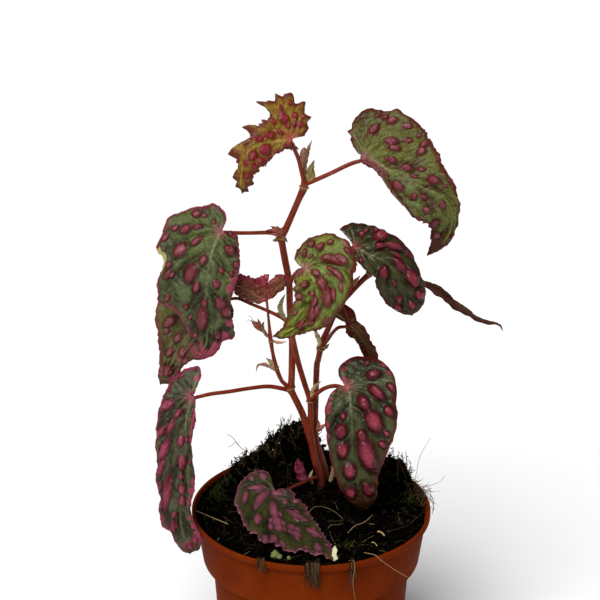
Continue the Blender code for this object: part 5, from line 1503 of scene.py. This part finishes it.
def build_crumbs(material):
    """Peat crumbs of many sizes: over the soil, heaped into the ridges and along the wall."""
    rng = np.random.default_rng(CRUMB_SEED)
    crumbs = Gathered()
    # Over the soil, few of them large
    for x, y in zip(*on_soil(rng, CRUMBS)):
        size = 0.35 + 1.1 * rng.uniform() ** 3
        shape = rough_lump(rng) * size * rng.uniform(0.6, 1.2, 3)
        turn = rng.uniform(0, 2 * math.pi)
        spin = np.array([(math.cos(turn), -math.sin(turn), 0), (math.sin(turn), math.cos(turn), 0), (0, 0, 1)])
        middle = (x, y, soil_height(x, y) + size * 0.35)
        crumbs.add(shape @ spin.T + middle, LUMP_FACES, rng.uniform(*CRUMB_TONES))
    # Heaped into ridges, wide at the foot and narrow at the top, and kept inside the wall
    for ridge, lumps, _ in TUFTS:
        for _ in range(lumps):
            top = ridge_top(ridge, rng)
            up = rng.uniform(0, 1) ** 1.4
            x, y = top[:2] + np.clip(rng.normal(0, 1, 2), -1.7, 1.7) * (2.4, 4.0) * (1.1 - 0.75 * up)
            x, y = np.array((x, y)) * min(1, (SOIL_EDGE - 2.4) / math.hypot(x, y))
            low = soil_height(x, y)
            z = low + (top[2] - low) * up
            size = rng.uniform(0.5, 1.6)
            shape = rough_lump(rng) * size * rng.uniform(0.5, 1.3, 3)
            crumbs.add(shape + (x, y, z), LUMP_FACES, rng.uniform(*RIDGE_TONES))
    # Banked up against the wall
    for crumb in range(WALL_CRUMBS):
        behind = crumb > WALL_CRUMBS_ROUND
        turn = rng.uniform(0, 1.12) * math.pi if behind else rng.uniform(0, 2) * math.pi
        inward = abs(rng.normal(0, 0.9 if behind else 1.3))
        radius = inner_radius(90) - 0.5 - inward
        z = WALL_CRUMB_LEVEL + (2.9 if behind else 2.4) * rng.uniform() ** 0.8 * math.exp(-inward / 1.6)
        shape = rough_lump(rng) * rng.uniform(0.35, 0.85) * rng.uniform(0.6, 1.2, 3)
        place = (radius * math.cos(turn), radius * math.sin(turn), z)
        crumbs.add(shape + place, LUMP_FACES, rng.uniform(*WALL_TONES))
    crumbs.finish("peat_crumbs", material, sharp=30)


def thinning(line, first, last):
    """The line's points with a radius that goes from first to last."""
    return np.hstack([line, np.linspace(first, last, len(line))[:, None]])


def lay_fibres(fibres, rng):
    """Fibres in the peat, most of them lying and some standing on the heap."""
    for x, y in zip(*on_soil(rng, LYING_FIBRES)):
        base = np.array((x, y, soil_height(x, y) + 0.1))
        long = rng.uniform(2, 9)
        standing = y > 12 and rng.uniform() < 0.45
        rise = rng.uniform(0.5, 1.6) if standing else rng.uniform(0.02, 0.35)
        turn = rng.uniform(0, 2 * math.pi)
        way = unit(np.array((math.cos(turn), math.sin(turn), rise)))
        bend = rng.normal(0, 0.28, 3)
        steps = np.linspace(0, 1, 5)[:, None]
        line = base + way * steps * long * (0.6 if standing else 1) + bend * steps**2 * long
        line[:, 2] = np.maximum(line[:, 2], soil_height(line[:, 0], line[:, 1]) + 0.15)
        line[:, :2] *= np.minimum(1, (SOIL_EDGE - 0.8) / np.hypot(line[:, 0], line[:, 1]))[:, None]
        tone = rng.uniform(0, 1) ** 7 * 0.85
        thin = rng.uniform(0.08, 0.2) * (1 - 0.6 * tone) * (1 - 0.6 * steps)
        fibres.add_strand(np.hstack([line, thin]), 3, 1, tone)


def grow_sprigs(fibres, rng):
    """Branched roots that stand on the ridges of peat."""
    for ridge in [ridge for ridge, _, count in TUFTS for _ in range(count)]:
        tip = ridge_top(ridge, rng) + (0, 0, 3) + rng.normal(0, (2, 2, 1.6))
        tip[2] -= abs(rng.normal(0, 4.5))
        foot = tip + (rng.normal(2, 3), rng.normal(0, 2), 0)
        foot[:2] *= min(1, (SOIL_EDGE - 2) / np.hypot(*foot[:2]))
        foot[2] = soil_height(foot[0], foot[1]) - 0.5
        if tip[2] < foot[2] + 1:
            continue
        middle = (foot + tip) / 2 + rng.normal(0, 1.2, 3)
        line = smooth_line((foot, middle, tip), 9)
        tone = rng.uniform(0.08, 0.5)
        fibres.add_strand(thinning(line, 0.34, 0.1), 4, 1, tone)
        for point, ahead in zip(line[2:], np.diff(line, axis=0)[1:]):
            for _ in range(2):
                out = unit(rng.normal(size=3)) * rng.uniform(0.8, 2.8) + ahead * 0.6
                twig = np.array([(*point, 0.22), (*(point + out * 0.6), 0.18), (*(point + out), 0.04)])
                fibres.add_strand(twig, 3, 1, tone * rng.uniform(0.3, 1.2))


def hang_clumps(fibres, rng):
    """Roots that come over the rim and hang down the pot's front."""
    for middle, spread, low, count in CLUMPS:
        for _ in range(count):
            x = middle + rng.normal(0, spread / 2)
            y = -math.sqrt(max(0, (RIM_RADIUS + 0.7) ** 2 - x**2))
            end = rng.uniform(low, POT_HEIGHT - 4)
            drift, curl = rng.normal(0, 1.3), rng.normal(0, 0.9)
            route = (
                (x, y + 5, 91), (x, y + 1.4, 93), (x + drift * 0.3, y - 0.3, 90.5),
                (x + drift * 0.7 + curl, y + 0.4 + (POT_HEIGHT - end) * 0.07 - abs(curl) * 0.5, (end + 88) / 2),
                (x + drift, y + 0.8 + (POT_HEIGHT - end) * 0.11, end),
            )
            stations = [(*point, 0.26 * (1 - 0.15 * k)) for k, point in enumerate(route)]
            fibres.add_strand(stations, 4, 3, rng.uniform(0.15, 0.75) ** 1.5)


def hang_fringe(fibres, rng):
    """Fine roots that stick out over the rim at the right."""
    for _ in range(FRINGE):
        turn = np.clip(rng.normal(0.27, 0.2), -0.15, 0.75)
        out, way = rng.uniform(51.5, 55.5), np.array((math.cos(turn), math.sin(turn)))
        aside = np.array((-way[1], way[0])) * rng.normal(0, 2.8)
        inner = way * rng.uniform(47.6, 49.2) - aside * rng.uniform(0, 2)
        route = (*inner, rng.uniform(90, 91.6)), (*(way * 50.4), 93.4), (*(way * out + aside), rng.uniform(90, 96))
        fibres.add_strand(thinning(smooth_line(route, 7), 0.16, 0.05), 3, 1, rng.uniform(0.1, 0.7) ** 1.5)


def build_fibres(material):
    """All that is long and thin in the peat, and the dry flake."""
    rng = np.random.default_rng(FIBRE_SEED)
    fibres = Gathered()
    for place in (lay_fibres, grow_sprigs, hang_clumps, hang_fringe):
        place(fibres, rng)
    for tone, width, route in STRAWS:
        stations = [(*point, width / 2 * (1 - 0.35 * k / len(route))) for k, point in enumerate(route)]
        fibres.add_strand(stations, STRAW_SIDES, STRAW_STEPS, tone)
    fibres.add(DRY_FLAKE, FLAKE_FACES, 1.0)
    fibres.finish("peat_fibres", material)


# A spike of moss over its three lower corners
THIRD_TURN = 2.094
SPIKE_FACES = ((0, 2, 1), (0, 1, 3), (1, 2, 3), (2, 0, 3))


def build_moss(material):
    """Moss as many small leaning spikes, and round cushions at the front."""
    rng = np.random.default_rng(MOSS_SEED)
    moss = Gathered()
    for middle_x, middle_y, reach_x, reach_y, count in MOSS:
        for _ in range(count):
            x, y = rng.normal(middle_x, reach_x / 2), rng.normal(middle_y, reach_y / 2)
            if math.hypot(x, y) > SOIL_EDGE - 1:
                continue
            foot = np.array((x, y, soil_height(x, y) - 0.2))
            tall = rng.uniform(0.7, 1.9)
            lean = rng.normal(0, 0.5, 2)
            wide = rng.uniform(0.16, 0.34)
            turn = rng.uniform(0, 2)
            corners = [turn + k * THIRD_TURN for k in range(3)]
            ring = [foot + (wide * math.cos(angle), wide * math.sin(angle), 0) for angle in corners]
            moss.add([*ring, foot + (*lean, tall)], SPIKE_FACES, rng.uniform(0, 0.8))
    for x, y, z, size in MOSS_CUSHIONS:
        moss.add(rough_lump(rng, CUSHION_ROUGH) * size + (x, y, z), LUMP_FACES, 1.0)
    moss.finish("moss", material)


# Canes


def node_marks(points):
    """How near each point is to a node's ring, from 0 to 1."""
    nearest = np.zeros(len(points))
    for x, y, z, reach in NODES:
        away = np.linalg.norm(points - (x, y, z), axis=1)
        nearest = np.maximum(nearest, np.exp(-((away / reach / 1.4) ** 4)))
    return nearest


def build_canes(name, spines, material):
    """The canes and stalks of one solid, each stalk led up to its blade."""
    canes = Gathered()
    for stations in CANES[name]:
        stated = [station for station in stations if not isinstance(station, str)]
        radius = stated[-1][3]
        if isinstance(stations[-1], str):
            spine = spines[stations[-1]]
            start, towards = spine.middle[0], spine.sizes.stalk
            if towards:
                stated.append((*(start + towards * spine.face[0] * (radius + 1.2)), radius * 0.9))
                stated.append((*(start + towards * spine.face[0] * 0.1), radius * 0.95))
            else:
                stated.append((*(start + spine.along[0] * 0.6), radius * 0.85))
        points, faces, grain = tube(stated, CANE_SIDES, CANE_STEPS)
        canes.add(points, faces, node_marks(points), grain)
    canes.finish(name.replace("stem", "cane"), material, nodes=(name,), sharp=70)


def scale_shape(points, half_width, rng):
    """A pointed papery scale with a cupped back and ragged sides, as a closed thin shell."""
    rows, columns = SCALE_ROWS, SCALE_COLUMNS
    line = smooth_line(points, rows)
    ahead = unit(np.gradient(line, axis=0))
    sideways = unit(np.cross(ahead, ASIDE))
    outward = np.cross(sideways, ahead)
    outward *= np.where(outward[:, 1:2] > 0, -1, 1)
    share = np.linspace(0, 1, rows)
    wide = half_width * np.interp(share, (0, 0.15, 0.45, 0.7, 0.88, 1), (0.6, 0.9, 1, 0.7, 0.28, 0.04))
    ragged = rng.uniform(0.72, 1.12, (rows, 2))
    across = np.linspace(-1, 1, columns)
    reach = across * np.where(across[None] < 0, ragged[:, :1], ragged[:, 1:]) ** np.abs(across)
    grid = line[:, None] + sideways[:, None] * (wide[:, None] * reach)[..., None]
    grid = grid - outward[:, None] * (wide[:, None] * 0.55 * across**2)[..., None]
    grid = grid + outward[:, None] * (0.12 * rng.normal(size=(rows, columns)) * np.abs(across))[..., None]
    thick = SCALE_THICKNESS / 2 * outward[:, None]
    upper, lower = (grid + thick).reshape(-1, 3), (grid - thick).reshape(-1, 3)
    count = rows * columns
    faces = []
    for row in range(rows - 1):
        for column in range(columns - 1):
            a = row * columns + column
            faces.append((a, a + 1, a + columns + 1, a + columns))
            faces.append((a + count, a + columns + count, a + columns + 1 + count, a + 1 + count))
    border = [*range(columns)] + [row * columns + columns - 1 for row in range(1, rows)]
    border += [(rows - 1) * columns + k for k in range(columns - 2, -1, -1)]
    border += [row * columns for row in range(rows - 2, 0, -1)]
    faces += [(b, a, a + count, b + count) for a, b in zip(border, border[1:] + border[:1])]
    return np.vstack([upper, lower]), faces, np.tile(np.repeat(share, columns), 2)


def ring_shape(middle, way, radius, rng):
    """A thin ragged collar round a cane, flared upwards."""
    way = unit(np.array(way, float))
    first = unit(np.cross(way, ASIDE))
    second = np.cross(way, first)
    points = []
    for inner, height in ((0.75, -0.3), (1.0, -0.35), (1.0, 0), (0.7, 0)):
        for angle in angles_round(RING_SIDES):
            flare = rng.uniform(0.0, 0.45) if height == 0 and inner == 1 else 0
            reach = radius * (inner + 0.12 * (inner == 1)) + flare * 0.8
            out = math.cos(angle) * first + math.sin(angle) * second
            points.append(np.array(middle) + reach * out + (height + 0.6 * flare) * way)
    starts = [ring * RING_SIDES for ring in range(4)]
    faces = [face for pair in zip(starts, starts[1:] + starts[:1]) for face in ring_faces(*pair, RING_SIDES)]
    return points, faces


def build_scales(material):
    """The papery scales, buds and rings. Their own colours go into the grain."""
    rng = np.random.default_rng(SCALE_SEED)
    scales = Gathered()
    for half_width, root, tip, points in SCALES:
        shape, faces, share = scale_shape(points, half_width, rng)
        scales.add(shape, faces, share, blend_at(share, (0, 1), (rgb(root), rgb(tip))))
    for code, stations in BUDS:
        points, faces, _ = tube(stations, BUD_SIDES, BUD_STEPS)
        scales.add(points, faces, 0, np.tile(rgb(code), (len(points), 1)))
    for middle, way, radius in RINGS:
        points, faces = ring_shape(middle, way, radius, rng)
        scales.add(points, faces, 0, np.tile(rgb(RING_COLOUR), (len(points), 1)))
    scales.finish("stipules", material, sharp=60)


# The making


def build_stage():
    """The pale floor, the light and the camera."""
    far = FLOOR_REACH
    corners = [(-far, -far, 0), (far, -far, 0), (far, far * 2, 0), (-far, far * 2, 0)]
    floor = new_object("floor", corners, [(0, 1, 2, 3)])
    bpy.context.scene.collection.objects.link(floor)
    paint = Painter("pale_floor", 0.9, Specular_IOR_Level=0.1)
    dark, light = FLOOR_SHADES
    paint.coat(dark, (paint.noise(400, 2), light, 1))
    floor.data.materials.append(paint.material)

    scene = bpy.context.scene
    scene.view_settings.view_transform = "Standard"
    world = bpy.data.worlds.new("studio")
    world.use_nodes = True
    background = world.node_tree.nodes["Background"]
    background.inputs["Color"].default_value = WHITE
    background.inputs["Strength"].default_value = SKY
    scene.world = world
    light = bpy.data.lights.new("soft_sun", "SUN")
    light.energy, light.angle = SUN, math.radians(SUN_SPREAD)
    lamp = bpy.data.objects.new("soft_sun", light)
    lamp.rotation_euler = Vector(SUN_FROM).to_track_quat("Z", "Y").to_euler()
    scene.collection.objects.link(lamp)

    data = bpy.data.cameras.new("camera")
    data.lens, data.sensor_width = CAMERA_LENS, SENSOR_WIDTH
    data.clip_start, data.clip_end = CAMERA_CLIP
    camera = bpy.data.objects.new("camera", data)
    camera.location = CAMERA_PLACE
    camera.rotation_euler = (math.radians(CAMERA_TILT), 0, 0)
    scene.collection.objects.link(camera)
    scene.camera = camera


def main():
    build_stage()
    spines = {name: Spine(sizes) for name, sizes in LEAVES.items()}
    for name, spine in spines.items():
        points, faces, marks = blade_mesh(name, spine)
        material = leaf_material(name.replace("leaf", "skin"), LOOKS[name])
        add_piece(name.replace("leaf", "blade"), points, faces, material, marks, (name,), sharp=80)
    cane = cane_material()
    for name in CANES:
        build_canes(name, spines, cane)
    build_scales(stipule_material())
    build_pot(pot_material())
    peat = peat_material()
    build_soil(peat)
    build_crumbs(peat)
    build_fibres(fibre_material())
    build_moss(moss_material())


main()
